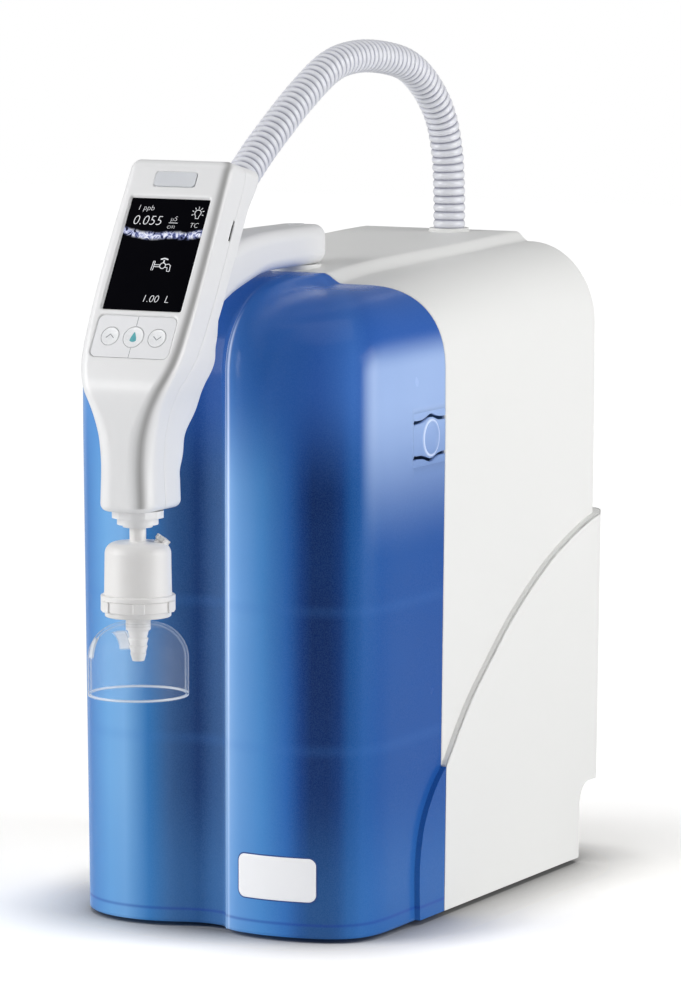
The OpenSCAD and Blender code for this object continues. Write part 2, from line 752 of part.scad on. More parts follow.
module display_window() color([0.02, 0.02, 0.03, 0.9]) in_top_frame() on_face()
    translate([-display_w / 2 + 0.1, -display_l + 0.1, -shell_flat - 0.1])
        cube([display_w - 0.2, display_l - 0.2, 1.4]);

module display_module() color("dimgrey") in_top_frame() on_face()
    translate([-display_w / 2 - 2.5, -display_l - 1.5, -shell_flat - 0.1 - 5])
        cube([display_w + 5, display_l + 4, 5]);

board_top = -shell_flat - 5.4;
module handpiece_board() color("seagreen") in_top_frame() on_face() {
    translate([-25, -104, board_top - 1.6]) cube([50, 104, 1.6]);
    for (b = button_names) translate([b[1], button_y, 0]) rod(3, board_top, board_top + 1.2);
    translate([-18, -60, board_top - 4.6]) cube([14, 14, 3]);
    translate([6, -50, board_top - 4.6]) cube([10, 20, 3]);
}

module keypad_panel() color("white") in_top_frame() on_face() difference() {
    translate([0, keypad_y - keypad_l / 2, -1.4]) linear_extrude(0.8)
        badge_outline(keypad_w - 0.3, keypad_l - 0.3, 3.85);
    for (b = button_names) translate([b[1], button_y, 0]) rod(b[2] / 2 + button_gap, -3, 2);
}

module key_button(x, d) {
    on_face() translate([x, button_y, 0]) {
        rod(d / 2, -shell_flat - 1, -0.4);
        rod(d / 2 + 0.9, -shell_flat - 2.2, -shell_flat - seat_gap - 0.3);
    }
}
module up_button() color("whitesmoke") in_top_frame() key_button(-arrow_x, arrow_d);
module dispense_button() color("lightblue") in_top_frame() key_button(0, dispense_d);
module down_button() color("whitesmoke") in_top_frame() key_button(arrow_x, arrow_d);

module handpiece_badge() color("gainsboro") in_top_frame() on_face()
    translate([0, 12.5, -1]) linear_extrude(1.3) badge_outline(28, 9.4, 2.2);

module service_port() color("dimgrey") in_top_frame() on_face()
    difference() {
        translate([head_w / 2 - 13, port_y - 7.1, -24.1]) cube([12.4, 14.2, 4.7]);
        translate([head_w / 2 - 9, port_y - 6.2, -23.2]) cube([14, 12.4, 2.9]);
    }

module handpiece_gland() color("white") in_top_frame() at_gland() difference() {
    union() {
        rod(gland_r - 2.7, -gland_len + 8, -3);
        rod(gland_r, -3, 0);
    }
    rod(hose_bore / 2 - 1, -gland_len, 1);
}

// ---- Tubes and the hose ----

// Frame of a route at its point i: the route runs nearly in the Y-Z plane
function unit(v) = v / norm(v);
function heading(p, i) = unit(p[min(i + 1, len(p) - 1)] - p[max(i - 1, 0)]);
function tube_ring(c, t, r, n, turn) =
    let (a = unit(cross(t, abs(t[0]) > 0.8 ? [0, 0, 1] : [1, 0, 0])), b = cross(t, a))
    [for (k = [0:n - 1]) c + r * (cos(360 * k / n + turn) * a + sin(360 * k / n + turn) * b)];

module swept_tube(route, r, n) {
    loft([for (i = [0:len(route) - 1]) tube_ring(route[i], heading(route, i), r, n, 0)]);
}

tube_inside = curve([[0, outlet_y, handle_z - 7], [0, outlet_y, 300], [0, -190, 335], [0, -179, 364],
    [0, -166, 390], [0, -152, 408], [0, -140, 425], [0, -129.5, 437.6], [0, -118, 442]], 2);
module outlet_tube() color("white") in_top_frame() swept_tube(tube_inside, tube_d / 2 - 0.5, 8);

// Route of the dispenser hose from the rear of the plateau to the head
hose_route = [[14, 207, gland_z - top_rise + 1.2 + seat_gap], [14, 207, 423],
    [14, 207, 434], [13.5, 205, 462],
    [12.5, 196.5, 487],
    [11, 178, 507.5], [9.5, 152, 522], [7.5, 117, 529.5], [6, 82, 530.5], [4.5, 51, 524],
    [2.5, 16, 507], [1, -15, 488.5], [0, -36, 475], [0, -52, 464.5], [0, -66, 456.6],
    [0, -79.5, 451.5], [0, -99.9, 446.4]];
lower_ribs = 4;
upper_ribs = 73;

// Length along a line of points, up to each of them
function run_lengths(p) =
    [for (i = 0, s = 0; i < len(p); i = i + 1, s = i < len(p) ? s + norm(p[i] - p[i - 1]) : s) s];

// The line again, cut into m equal steps
function even_steps(p, m) =
    let (s = run_lengths(p), total = s[len(p) - 1],
        track = [for (axis = [0:2]) [for (i = [0:len(p) - 1]) [s[i], p[i][axis]]]])
    [for (k = [0:m]) [for (axis = [0:2]) lookup(total * k / m, track[axis])]];

hose_path = even_steps(curve(hose_route, 8), 2 * (lower_ribs + upper_ribs));

// A ribbed hose along part of the path, from ring first to ring last: each rib
// is a groove ring and a crest ring, and the bore is a second surface inside
module ribbed_hose(first, last) {
    m = last - first + 1;
    n = 8;
    outer = [for (i = [first:last])
        tube_ring(hose_path[i], heading(hose_path, i),
            hose_d / 2 - (i % 2 == 0 ? rib_depth : 0), n, 22.5)];
    inner = [for (i = [first:last])
        tube_ring(hose_path[i], heading(hose_path, i), hose_bore / 2, n, 22.5)];
    size = m * n;
    polyhedron(
        points = concat([for (g = outer) for (p = g) p], [for (g = inner) for (p = g) p]),
        faces = concat(
            [for (k = [0:m - 2]) for (i = [0:n - 1]) for (h = [0, 1])
                let (a = k * n + i, b = k * n + (i + 1) % n)
                h == 0 ? [a, a + n, b] : [b, a + n, b + n]],
            [for (k = [0:m - 2]) for (i = [0:n - 1]) for (h = [0, 1])
                let (a = size + k * n + i, b = size + k * n + (i + 1) % n)
                h == 0 ? [a, b, a + n] : [b, b + n, a + n]],
            [for (i = [0:n - 1]) for (h = [0, 1])
                let (b = (i + 1) % n)
                h == 0 ? [i, b, i + size] : [b, b + size, i + size]],
            [for (i = [0:n - 1]) for (h = [0, 1])
                let (a = (m - 1) * n + i, b = (m - 1) * n + (i + 1) % n)
                h == 0 ? [a, a + size, b] : [b, a + size, b + size]]),
        convexity = 10);
}

module hose_lower() color("whitesmoke") in_top_frame() ribbed_hose(0, 2 * lower_ribs);
module hose_upper() color("whitesmoke") in_top_frame()
    ribbed_hose(2 * lower_ribs, 2 * (lower_ribs + upper_ribs));

module hose_gland() color("white") in_frame() translate([gland_x, gland_y, 0]) difference() {
    union() {
        rod(hose_d / 2 + 2.4, gland_z, gland_z + 1.2);
        rod(gland_neck_r - 0.1, gland_z - 9, gland_z);
    }
    rod(hose_bore / 2 - 1, gland_z - 20, gland_z + 10);
}

// ---- Outlet: collar, filter capsule and bell ----

module at_outlet() {
    translate([0, outlet_y, 0]) children();
}

module bayonet_collar() color("white") in_top_frame() at_outlet() difference() {
    union() {
        rod(collar_d / 2, collar_z, handle_z - seat_gap);
        rod(collar_d / 2 - 3.5, ring_z, collar_z);
        rod(9, ring_z - 1.7, ring_z);
        rod(spigot_r, handle_z - seat_gap, handle_z + 7);
    }
    rod(6, ring_z - 5, handle_z + 10);
    for (k = [0:5]) rotate([0, 0, 60 * k + 30])
        translate([collar_d / 2 + 1.4, 0, handle_z - 2]) cube([4, 8, 10], center = true);
}

module capsule_top() color("white") in_top_frame() at_outlet() difference() {
    union() {
        rotate_extrude($fn = 72) polygon(concat(
            [[2.5, flange_z - 3], [2.5, handle_z - 7], [5, handle_z - 7], [5, capsule_z],
                [7, capsule_z - 0.6]],
            [for (f = [75:-15:0]) [capsule_d / 2 - 7 + 7 * cos(f), capsule_z - 8.5 + 7 * sin(f)]],
            [[capsule_d / 2 + 0.5, flange_z], [flange_d / 2 - 1, flange_z],
                [flange_d / 2, flange_z - 1], [flange_d / 2, flange_z - 3]]));
        vent_place() rod(vent_r + 1.3, -5.7, vent_seat);
    }
    rod(capsule_d / 2 - 2.5, flange_z - 5, capsule_z - 8);
    vent_place() rod(vent_r + 0.1, -8, 4);
}

module capsule_base() color("white") in_top_frame() at_outlet() difference() {
    union() {
        rod(flange_d / 2, disc_z, flange_z - 3);
        rod(capsule_d / 2, neck_z, disc_z);
        rod(neck_r, barb_z + 18.8, neck_z);
        translate([0, 0, barb_z]) rotate_extrude($fn = 48)
            polygon([[0, 19.3], [6.4, 19.3], [5.2, 13.8], [6.2, 13.8], [4.9, 9.2],
                [5.7, 9.2], [4.4, 4.8], [5, 4.8], [3.6, 0], [0, 0]]);
        for (k = [0:5]) rotate([0, 0, 60 * k])
            translate([flange_d / 2, 0, (disc_z + flange_z - 3) / 2])
                cube([1.6, 7, flange_z - 3 - disc_z], center = true);
    }
    rod(2.5, barb_z - 1, flange_z);
}

module filter_membrane() color("ivory") in_top_frame() at_outlet()
    ring(capsule_d / 2 - 3, 3, flange_z - 3, capsule_z - 12);

// The vent sits on the right rear of the capsule's dome, and leans outwards.
module vent_place() {
    rotate([0, 0, 30]) translate([12.6, 0, capsule_z - 2.2]) rotate([0, 35, 0]) children();
}

vent_r = 2.3;
vent_seat = 2.3;
vent_head = 2.7;
module vent_screw() color("white") in_top_frame() at_outlet() vent_place() {
    rod(vent_r, -4, vent_seat + 1);
    rod(4, vent_seat + seat_gap, vent_seat + seat_gap + vent_head);
    for (k = [0:4]) rotate([0, 0, 72 * k])
        translate([4, 0, vent_seat + seat_gap + vent_head / 2]) cube([1.6, 1.6, vent_head], center = true);
}

module filling_bell() color([0.9, 0.95, 1, 0.35]) in_top_frame() at_outlet()
    rotate_extrude($fn = 96) difference() {
        polygon(bell_profile(0));
        polygon(bell_profile(bell_wall));
    }

bell_dome = 21;
function bell_profile(i) =
    concat([[neck_r + seat_gap, bell_top_z - i]],
        [for (f = [90:-10:0])
            [bell_d / 2 - 22 + (22 - i) * cos(f) , bell_top_z - bell_dome + (bell_dome - i) * sin(f)]],
        [[bell_d / 2 - i, bell_rim_z - (i > 0 ? 1 : 0)],
            [neck_r + seat_gap, bell_rim_z - (i > 0 ? 1 : 0)]]);

// ---- Inside the body ----

cart_x = half_w - 54;
cart_y = -48;
cart_z = base_top + 8;
clip_z = 90;

module purification_cartridge() color("lightsteelblue") in_frame() translate([cart_x, cart_y, 0]) {
    rod(cartridge_d / 2, cart_z + 8, cart_z + cartridge_l - 8);
    rod(cartridge_d / 2 + 2, cart_z, cart_z + 8);
    rod(cartridge_d / 2 + 2, cart_z + cartridge_l - 8, cart_z + cartridge_l);
    rod(9, base_top, cart_z);
}

module cartridge_head() color("dimgrey") in_frame() {
    z = cart_z + cartridge_l + seat_gap;
    translate([cart_x, cart_y, 0]) rod(cartridge_d / 2 - 1, z, z + 16);
    block(cart_x - 12, cart_x + 12, cart_y + 10, bulkhead_y, z, z + 16);
}

module cartridge_clip() color("grey") in_frame() difference() {
    union() {
        translate([cart_x, cart_y, 0]) rod(cartridge_d / 2 + 4, clip_z, clip_z + 12);
        block(cart_x - 14, cart_x + 14, cart_y + cartridge_d / 2, bulkhead_y, clip_z, clip_z + 12);
    }
    translate([cart_x, cart_y, 0]) rod(cartridge_d / 2 + 0.4, clip_z - 1, clip_z + 13);
    block(cart_x - 17, cart_x + 17, cart_y - 60, cart_y - 8, clip_z - 1, clip_z + 13);
}

uf_x = -half_w + 54;
uf_y = -40;
module ultrafilter() color("white") in_frame() {
    translate([uf_x, uf_y, 0]) {
        rod(17, 150, 312);
        rod(20, 142, 152);
        rod(20, 310, 320);
        rod(4, 320, 330);
    }
    for (z = [170, 280]) block(uf_x - 8, uf_x + 8, uf_y + 10, bulkhead_y, z, z + 10);
}

pump_x = -half_w + 59;
pump_y = -52;
module pump_head() color("black") in_frame() difference() {
    block(pump_x - 22, pump_x + 22, pump_y - 22, pump_y + 20, 68, 116);
    translate([pump_x, pump_y, 0]) rod(6, 60, 90);
    translate([pump_x, pump_y, 0]) rod(14, 80, 104);
}
module pump_motor() color("silver") in_frame() difference() {
    translate([pump_x, pump_y, 0]) rod(19, base_top, 68);
    translate([pump_x, pump_y, 0]) rod(4.05, 30, 70);
}
module pump_shaft() color("gold") in_frame() translate([pump_x, pump_y, 0]) {
    rod(4, 40, 84);
    translate([2.5, 0, 0]) rod(9, 84, 100);
}

reactor_x = half_w - 38;
reactor_y = 44;
module uv_reactor() color("silver") in_frame() {
    translate([reactor_x, reactor_y, 0]) ring(reactor_d / 2, reactor_d / 2 - 2, 60, 330);
    for (z = [90, 280]) block(reactor_x - 10, reactor_x + 10, bulkhead_y + bulkhead_t,
        reactor_y - reactor_d / 2 + 1, z, z + 14);
}
module uv_end_caps() color("dimgrey") in_frame() translate([reactor_x, reactor_y, 0]) {
    rod(reactor_d / 2 + 2, 48, 60);
    rod(reactor_d / 2 + 2, 330, 340);
    rod(9, 60, 330);
}

module solenoid_valve() color("darkslategray") in_frame() {
    block(-10, 14, bulkhead_y + bulkhead_t, 34, 100, 124);
    translate([2, 21, 0]) rod(13, 124, 156);
    translate([2, 21, 0]) rod(4, 88, 100);
}
module pressure_regulator() color("silver") in_frame() {
    block(-16, 16, bulkhead_y + bulkhead_t, 36, 190, 214);
    translate([0, 22, 0]) rod(12, 214, 244);
    translate([0, 22, 0]) rod(4, 180, 190);
}
module conductivity_cell() color("black") in_frame() {
    block(-14, 14, bulkhead_y + bulkhead_t, 30, 280, 300);
    translate([0, 18, 0]) rod(7, 300, 330);
    translate([0, 18, 0]) rod(4, 268, 280);
}
board_x = -half_w + 14;
module control_board() color("seagreen") in_frame() {
    y = bulkhead_y + bulkhead_t;
    block(board_x, board_x + 68, y + 8, y + 9.6, 180, 330);
    for (x = [8, 60]) for (z = [188, 322]) translate([board_x + x, y + 8, z])
        rotate([90, 0, 0]) rod(3, 0, 8);
    block(board_x + 8, board_x + 28, y + 9.6, y + 13, 200, 220);
    block(board_x + 38, board_x + 58, y + 9.6, y + 22, 290, 315);
    for (k = [0:3]) block(board_x + 6 + 14 * k, board_x + 16 + 14 * k, y + 9.6, y + 21, 240, 250);
}
module power_supply() color("silver") in_frame()
    block(-half_w + 16, -half_w + 76, 60, 170, base_top, base_top + 42);

// Tubes clipped between the fittings inside
module inner_tubing() color("lightblue") in_frame() {
    r = tube_d / 2;
    swept_tube(curve([[2, 21, 87.5], [2, 21, 82], [2, 22, 72], [6, 34, 50], [20, 80, 34],
        [34, 145, 27], [feed_x, 170, 26], [feed_x, 184, 26], [feed_x, notch_y - 12.6, 26]], 3),
        r - 0.5, 8);
    swept_tube(curve([[0, 22, 179.5], [0, 22, 176], [1, 22, 168], [2, 21, 160], [2, 21, 156.6]], 3),
        r - 0.5, 8);
}

module feed_inlet() color("white") in_frame() fitting(feed_x);
module drain_outlet() color("lightgrey") in_frame() fitting(drain_x);
module fitting(x) {
    translate([x, 0, fitting_z]) rotate([-90, 0, 0]) difference() {
        union() {
            rod(fitting_d / 2, notch_y, notch_y + 16);
            rod(fitting_d / 2 - 2, notch_y - 12, notch_y);
        }
        rod(tube_d / 2 + 0.1, notch_y + 2, notch_y + 30);
    }
}

module mains_inlet() color("black") in_frame() difference() {
    union() {
        block(inlet_x - 13.8, inlet_x + 13.8, panel_y - 22, panel_y + panel_t,
            inlet_z - 10.8, inlet_z + 10.8);
        block(inlet_x - 16, inlet_x + 16, panel_y + panel_t, panel_y + panel_t + 2,
            inlet_z - 13, inlet_z + 13);
    }
    block(inlet_x - 11.6, inlet_x + 11.6, panel_y - 14, rear_y + 1, inlet_z - 8.2, inlet_z + 8.2);
}

module rocker_switch() color("black") in_frame()
    translate([switch_x, panel_y + panel_t + 0.6, switch_z]) {
        rotate([6, 0, 0]) translate([-6.5, -5, 0]) cube([13, 6, 9.6]);
        rotate([-6, 0, 0]) translate([-6.5, -5, -9.6]) cube([13, 6, 9.6]);
    }

module panel_screws() color("silver") in_frame()
    for (x = [-1, 1]) for (z = [-1, 1])
        translate([x * (panel_w / 2 - 3), rear_y, panel_z + panel_h / 2 + z * (panel_h / 2 - 3)])
            rotate([90, 0, 0]) {
                rod(screw_head_r, 0, screw_head_t);
                rod(1.5, 0, housing_wall + panel_t + 3);
            }

rear_housing();
rear_panel();
base_plate();
feet();
bulkhead();
front_cover();
cover_badge();
latch_right();
latch_left();
turret();
swivel_pin();
support_arm();
swivel_bush();
arm_cap();
arm_hanger();
handpiece_front();
handpiece_back();
display_window();
display_module();
handpiece_board();
keypad_panel();
up_button();
dispense_button();
down_button();
handpiece_badge();
service_port();
handpiece_gland();
outlet_tube();
bayonet_collar();
capsule_top();
capsule_base();
filter_membrane();
vent_screw();
filling_bell();
hose_gland();
hose_lower();
hose_upper();
purification_cartridge();
cartridge_head();
cartridge_clip();
ultrafilter();
pump_head();
pump_motor();
pump_shaft();
uv_reactor();
uv_end_caps();
solenoid_valve();
pressure_regulator();
conductivity_cell();
control_board();
power_supply();
inner_tubing();
feed_inlet();
drain_outlet();
mains_inlet();
rocker_switch();
panel_screws();
base_screws();
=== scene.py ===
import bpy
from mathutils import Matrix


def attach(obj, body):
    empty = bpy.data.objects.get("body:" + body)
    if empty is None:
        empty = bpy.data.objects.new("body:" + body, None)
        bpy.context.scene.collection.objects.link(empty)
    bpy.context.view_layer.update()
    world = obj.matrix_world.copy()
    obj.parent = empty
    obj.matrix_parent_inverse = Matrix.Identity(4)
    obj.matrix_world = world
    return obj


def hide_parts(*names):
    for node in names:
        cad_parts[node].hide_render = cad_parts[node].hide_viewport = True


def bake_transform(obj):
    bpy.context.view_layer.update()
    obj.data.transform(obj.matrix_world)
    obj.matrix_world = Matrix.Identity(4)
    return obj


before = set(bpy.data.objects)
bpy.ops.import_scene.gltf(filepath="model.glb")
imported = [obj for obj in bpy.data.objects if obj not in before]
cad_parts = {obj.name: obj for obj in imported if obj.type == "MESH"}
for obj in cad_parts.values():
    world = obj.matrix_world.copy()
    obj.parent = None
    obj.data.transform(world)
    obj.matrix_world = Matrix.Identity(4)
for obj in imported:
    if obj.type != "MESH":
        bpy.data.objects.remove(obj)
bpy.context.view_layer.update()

import math

import bmesh
import bpy
import numpy as np
from mathutils import Matrix, Vector

# ---- Camera -----------------------------------------------------------------
# A long lens far off the unit's right front corner, looking down 7 degrees,
# with the upright edges almost parallel.

camera_place = Vector((1.5899, -3.0508, 0.6783))
turn, dip = math.radians(27), math.radians(7)
ahead = Vector((-math.sin(turn) * math.cos(dip), math.cos(turn) * math.cos(dip), -math.sin(dip)))
across = Vector((math.cos(turn), math.sin(turn), 0))
upward = across.cross(ahead)
camera = bpy.data.objects.new("camera", bpy.data.cameras.new("camera"))
camera.matrix_world = Matrix((
    (across.x, upward.x, -ahead.x, camera_place.x),
    (across.y, upward.y, -ahead.y, camera_place.y),
    (across.z, upward.z, -ahead.z, camera_place.z),
    (0, 0, 0, 1)))
camera.data.sensor_width = 36
camera.data.lens = 197.28
camera.data.clip_end = 50
bpy.context.collection.objects.link(camera)
bpy.context.scene.camera = camera

# ---- Hose -------------------------------------------------------------------
# A ribbed white conduit, blow-moulded from soft plastic. It leaves the gland on
# the plateau straight up, arches over the body and dips into the head's back.
# It is two cords, split at the top, because it spans the joints of the arm.


def seat(points):
    """Millimetres in the seam frame to metres in the row frame: the seam lies
    7 mm ahead of the origin, and the body stands 3 mm high on its feet."""
    return (np.asarray(points, float) + (0.0, -7.0, 3.0)) / 1000.0


def spline(points, steps):
    """Catmull-Rom curve: each span is the cubic through its two ends whose end
    slopes are half the chord between the neighbouring points."""
    p = np.asarray(points, float)
    q = np.vstack([p[:1], p, p[-1:]])
    u = np.linspace(0, 1, steps, endpoint=False)[None, :, None]
    a, b, c, d = (q[i:len(q) - 3 + i][:, None, :] for i in range(4))
    run = 0.5 * (2 * b + (c - a) * u + (2 * a - 5 * b + 4 * c - d) * u ** 2
                 + (3 * b - a - 3 * c + d) * u ** 3)
    return np.vstack([run.reshape(-1, p.shape[1]), p[-1:]])


def even(points, count):
    """The same line resampled at equal steps of its length."""
    p = np.asarray(points, float)
    length = np.concatenate([[0], np.cumsum(np.linalg.norm(np.diff(p, axis=0), axis=1))])
    at = np.linspace(0, length[-1], count)
    return np.stack([np.interp(at, length, p[:, k]) for k in range(p.shape[1])], 1)


def unit(v):
    """Each vector divided by its own length."""
    return v / np.linalg.norm(v, axis=-1, keepdims=True)


def swept(path, radius, around=40):
    """A tube: at each point of the path a circle of that point's radius, in the
    plane square to the path, counted from the sideways direction."""
    p = np.asarray(path, float)
    t = unit(np.gradient(p, axis=0))
    side = np.where(np.abs(t[:, :1]) > 0.8, [[0.0, 0, 1]], [[1.0, 0, 0]])
    a = unit(np.cross(t, side))
    b = np.cross(t, a)
    w = np.linspace(0, 2 * np.pi, around, endpoint=False)
    r = np.broadcast_to(np.asarray(radius, float), (len(p),))[:, None, None]
    return p[:, None, :] + r * (np.cos(w)[None, :, None] * a[:, None, :]
                                + np.sin(w)[None, :, None] * b[:, None, :])


def quads(rows, cols, round_rows=False, round_cols=False):
    """Corner numbers of the squares of a grid that may close on itself."""
    r = np.arange(rows if round_rows else rows - 1)[:, None]
    c = np.arange(cols if round_cols else cols - 1)[None, :]
    r2, c2 = (r + 1) % rows, (c + 1) % cols
    return np.stack([r * cols + c, r * cols + c2, r2 * cols + c2, r2 * cols + c], -1).reshape(-1, 4)


class Paint:
    """One socket of a material. Sums on it add Math nodes, node() adds any other
    node, and blend() mixes two colours by it."""

    def __init__(self, tree, socket=None):
        self.tree, self.socket = tree, socket

    def node(self, kind, settings=(), sockets=(), out=0):
        """A node of this kind: settings are its properties, with stops for those
        of a colour ramp, and sockets its inputs, linked where they are Paint."""
        made = self.tree.nodes.new(kind)
        for key, value in dict(settings).items():
            if key == "stops":
                ramp = made.color_ramp.elements
                ramp[0].position, ramp[1].position = value[0][0], value[-1][0]
                for stop in value[1:-1]:
                    ramp.new(stop[0])
                for element, stop in zip(ramp, value):
                    element.color = stop[1]
            else:
                setattr(made, key, value)
        for key, value in dict(sockets).items():
            if isinstance(value, Paint):
                self.tree.links.new(value.socket, made.inputs[key])
            else:
                made.inputs[key].default_value = value
        return Paint(self.tree, None if out is None else made.outputs[out])

    def sum(self, operation, *values, clamp=False):
        """One Math node on these values."""
        return self.node("ShaderNodeMath", {"operation": operation, "use_clamp": clamp},
                         dict(enumerate(values)))

    def __add__(self, other):
        return self.sum("ADD", self, other)

    def __sub__(self, other):
        return self.sum("SUBTRACT", self, other)

    def __rsub__(self, other):
        return self.sum("SUBTRACT", other, self)

    def __mul__(self, other):
        return self.sum("MULTIPLY", self, other)

    __radd__, __rmul__ = __add__, __mul__

    def limited(self):
        """Held between 0 and 1."""
        return self.sum("ADD", self, 0.0, clamp=True)

    def away(self, centre):
        """The distance from centre."""
        return self.sum("ABSOLUTE", self - centre)

    def rise(self, low, high):
        """0 below low, 1 above high, smooth between them."""
        return self.node("ShaderNodeMapRange", {"interpolation_type": "SMOOTHSTEP"},
                         {0: self, 1: low, 2: high, 3: 0.0, 4: 1.0})

    def bump_at(self, centre, width):
        """A smooth hill of height 1 round centre, gone at width from it."""
        return 1 - self.away(centre).rise(0.0, width)

    def blend(self, first, second):
        """The first colour where this is 0 and the second where it is 1."""
        return self.node("ShaderNodeMix", {"data_type": "RGBA"}, {0: self, 6: first, 7: second}, 2)

    def noise(self, scale, detail=3.0):
        """Soft clouds, about 1 / scale metres apart."""
        return self.node("ShaderNodeTexNoise", {}, {"Vector": self, "Scale": scale, "Detail": detail})

    def grain(self, scale):
        """Round pits, about 1 / scale metres apart."""
        return self.node("ShaderNodeTexVoronoi", {}, {"Vector": self, "Scale": scale})

    def mark(self, name):
        """A value that the mesh carries for each of its points."""
        return self.node("ShaderNodeAttribute", {"attribute_name": name}, out="Fac")

    def part(self, axis):
        """The X, Y or Z of a place, in metres."""
        return self.node("ShaderNodeSeparateXYZ", {}, {0: self}, axis)

    def relief(self, height, strength):
        """A normal bumped by height times strength, in metres."""
        return self.node("ShaderNodeBump", {}, {"Height": height, "Strength": strength, "Distance": 1.0},
                         "Normal")


def tint(red, green, blue, alpha=1.0):
    """A colour as a painter names it, 0 to 255, turned to light amounts."""
    c = np.array([red, green, blue]) / 255.0
    lin = np.where(c <= 0.04045, c / 12.92, ((c + 0.055) / 1.055) ** 2.4)
    return (*[float(n) for n in lin], alpha)


def finish(name, constants, vary):
    """A material: constants go on the shader's own sockets, and vary returns the
    links that change over the surface, from the point's place."""
    made = bpy.data.materials.new(name)
    made.use_nodes = True
    tree = made.node_tree
    shader = tree.nodes["Principled BSDF"]
    for key, value in constants.items():
        shader.inputs[key].default_value = value
    place = Paint(tree).node("ShaderNodeTexCoord", out="Object")
    for key, value in vary(place).items():
        tree.links.new(value.socket, shader.inputs[key])
    return made


def piece(name, grids, coat, body=None, instead=(), crease=38.0, wall=0.0,
          weld=True, marks=None, skip=None, core=None):
    """Puts grids of points, in seam frame millimetres, into one smooth mesh. Each
    grid is (points, closed over rows, closed over columns). Rows that shrink to
    a point are welded. marks are named values, one for each point, and core is
    a place inside an open shell, which its faces turn away from."""
    points, faces, start = [], [], 0
    for grid, round_rows, round_cols in grids:
        grid = np.asarray(grid, float)
        points.append(grid.reshape(-1, 3))
        faces.append(quads(grid.shape[0], grid.shape[1], round_rows, round_cols) + start)
        start += grid.shape[0] * grid.shape[1]
    points, faces = np.vstack(points), np.vstack(faces)
    if skip is not None:
        faces = faces[~skip(points[faces].mean(1))]
    mesh = bpy.data.meshes.new(name)
    mesh.from_pydata(seat(points).tolist(), [], faces.tolist())
    for key, values in (marks or {}).items():
        mark = mesh.attributes.new(key, "FLOAT", "POINT")
        mark.data.foreach_set("value", np.asarray(values, np.float32).ravel())
    shape = bmesh.new()
    shape.from_mesh(mesh)
    if weld:
        bmesh.ops.remove_doubles(shape, verts=shape.verts, dist=2e-6)
    loose = [v for v in shape.verts if not v.link_faces]
    bmesh.ops.delete(shape, geom=loose, context="VERTS")
    bmesh.ops.recalc_face_normals(shape, faces=shape.faces)
    if core is not None:
        inside = Vector(seat(core))
        if sum(f.normal.dot(f.calc_center_median() - inside) * f.calc_area() for f in shape.faces) < 0:
            bmesh.ops.reverse_faces(shape, faces=shape.faces)
    shape.to_mesh(mesh)
    shape.free()
    mesh.polygons.foreach_set("use_smooth", np.ones(len(mesh.polygons), bool))
    mesh.set_sharp_from_angle(angle=math.radians(crease))
    made = bpy.data.objects.new(name, mesh)
    bpy.context.collection.objects.link(made)
    mesh.materials.append(coat)
    if wall:
        thick = made.modifiers.new("wall", "SOLIDIFY")
        thick.thickness, thick.offset = wall / 1000, -1
    if body:
        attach(made, body)
    if instead:
        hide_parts(*instead)
    return made


hose_radius, rib_depth, rib_pitch, hose_bore = 10.6, 1.25, 5.3, 7.5
# Along the middle of the hose, from inside its gland to inside the handpiece.
hose_route = spline([
    [14, 207, 413], [14, 207, 434], [13.5, 205, 462], [12.5, 196.5, 487], [11, 178, 507.5],
    [9.5, 152, 522], [7.5, 117, 528.6], [6, 82, 529.6], [4.5, 51, 524], [2.5, 16, 507],
    [1, -15, 488.5], [0, -36, 475], [0, -52, 464.5], [0, -66, 456.6], [0, -79.5, 451.5],
    [0, -99.9, 446.4]], 12)
hose_top = int(np.argmax(hose_route[:, 2]))


def hose_paint(place):
    """White crests that drift a little, and grey painted shade in the grooves."""
    fine = place.noise(900, 2)
    broad = place.noise(18, 3)
    crest = (broad * 0.9).blend(tint(224, 225, 232), tint(236, 237, 242))
    return {"Base Color": place.mark("groove").limited().blend(crest, tint(138, 139, 156)),
            "Roughness": 0.26 + 0.1 * fine,
            "Normal": place.relief(fine, 0.00004)}


hose_coat = finish("hose_white", {"IOR": 1.48, "Subsurface Weight": 0.12,
                                  "Subsurface Radius": (0.004, 0.004, 0.005),
                                  "Coat Weight": 0.25, "Coat Roughness": 0.18}, hose_paint)


def ribbed(path):
    """Along the path the radius swings between crest and groove once each pitch:
    the crest is wide and round and the groove narrow, as a sine raised to a
    power. A bore of one radius runs back inside, and the two meet at the ends."""
    length = np.linalg.norm(np.diff(path, axis=0), axis=1).sum()
    ribs = int(round(length / rib_pitch))
    line = even(path, ribs * 10 + 1)
    phase = np.linspace(0, ribs * np.pi, len(line))
    outer = hose_radius - rib_depth * (1 - np.abs(np.sin(phase)) ** 0.75)
    rows = swept(line, outer, 36)
    inner = swept(line[::10], hose_bore, 36)
    # groove: how deep in a groove each point lies, which the material paints as shade.
    groove = (1 - np.abs(np.sin(phase))) ** 2.2
    groove = np.concatenate([groove, np.ones(len(inner)), groove[:1]])
    return np.concatenate([rows, inner[::-1], rows[:1]]), np.repeat(groove, 36), length


for name, run, built, near_body, far_body in (
        ("hose_rear", hose_route[:hose_top + 1], "hose_lower", "housing", "arm"),
        ("hose_front", hose_route[hose_top:], "hose_upper", "arm", "handpiece")):
    grid, groove, length = ribbed(run)
    hose = piece(name, [(grid, False, True)], hose_coat, instead=(built,),
                 crease=60, weld=False, marks={"groove": groove})
    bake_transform(hose)
    float(length / 1000)

# ---- Rear housing -----------------------------------------------------------
# One structural foam moulding, light grey white with a fine spark texture. It
# has a raised plateau along its top, lower side panels that stand proud of its
# flanks up to a curved step, and a space cut out below its rear face.

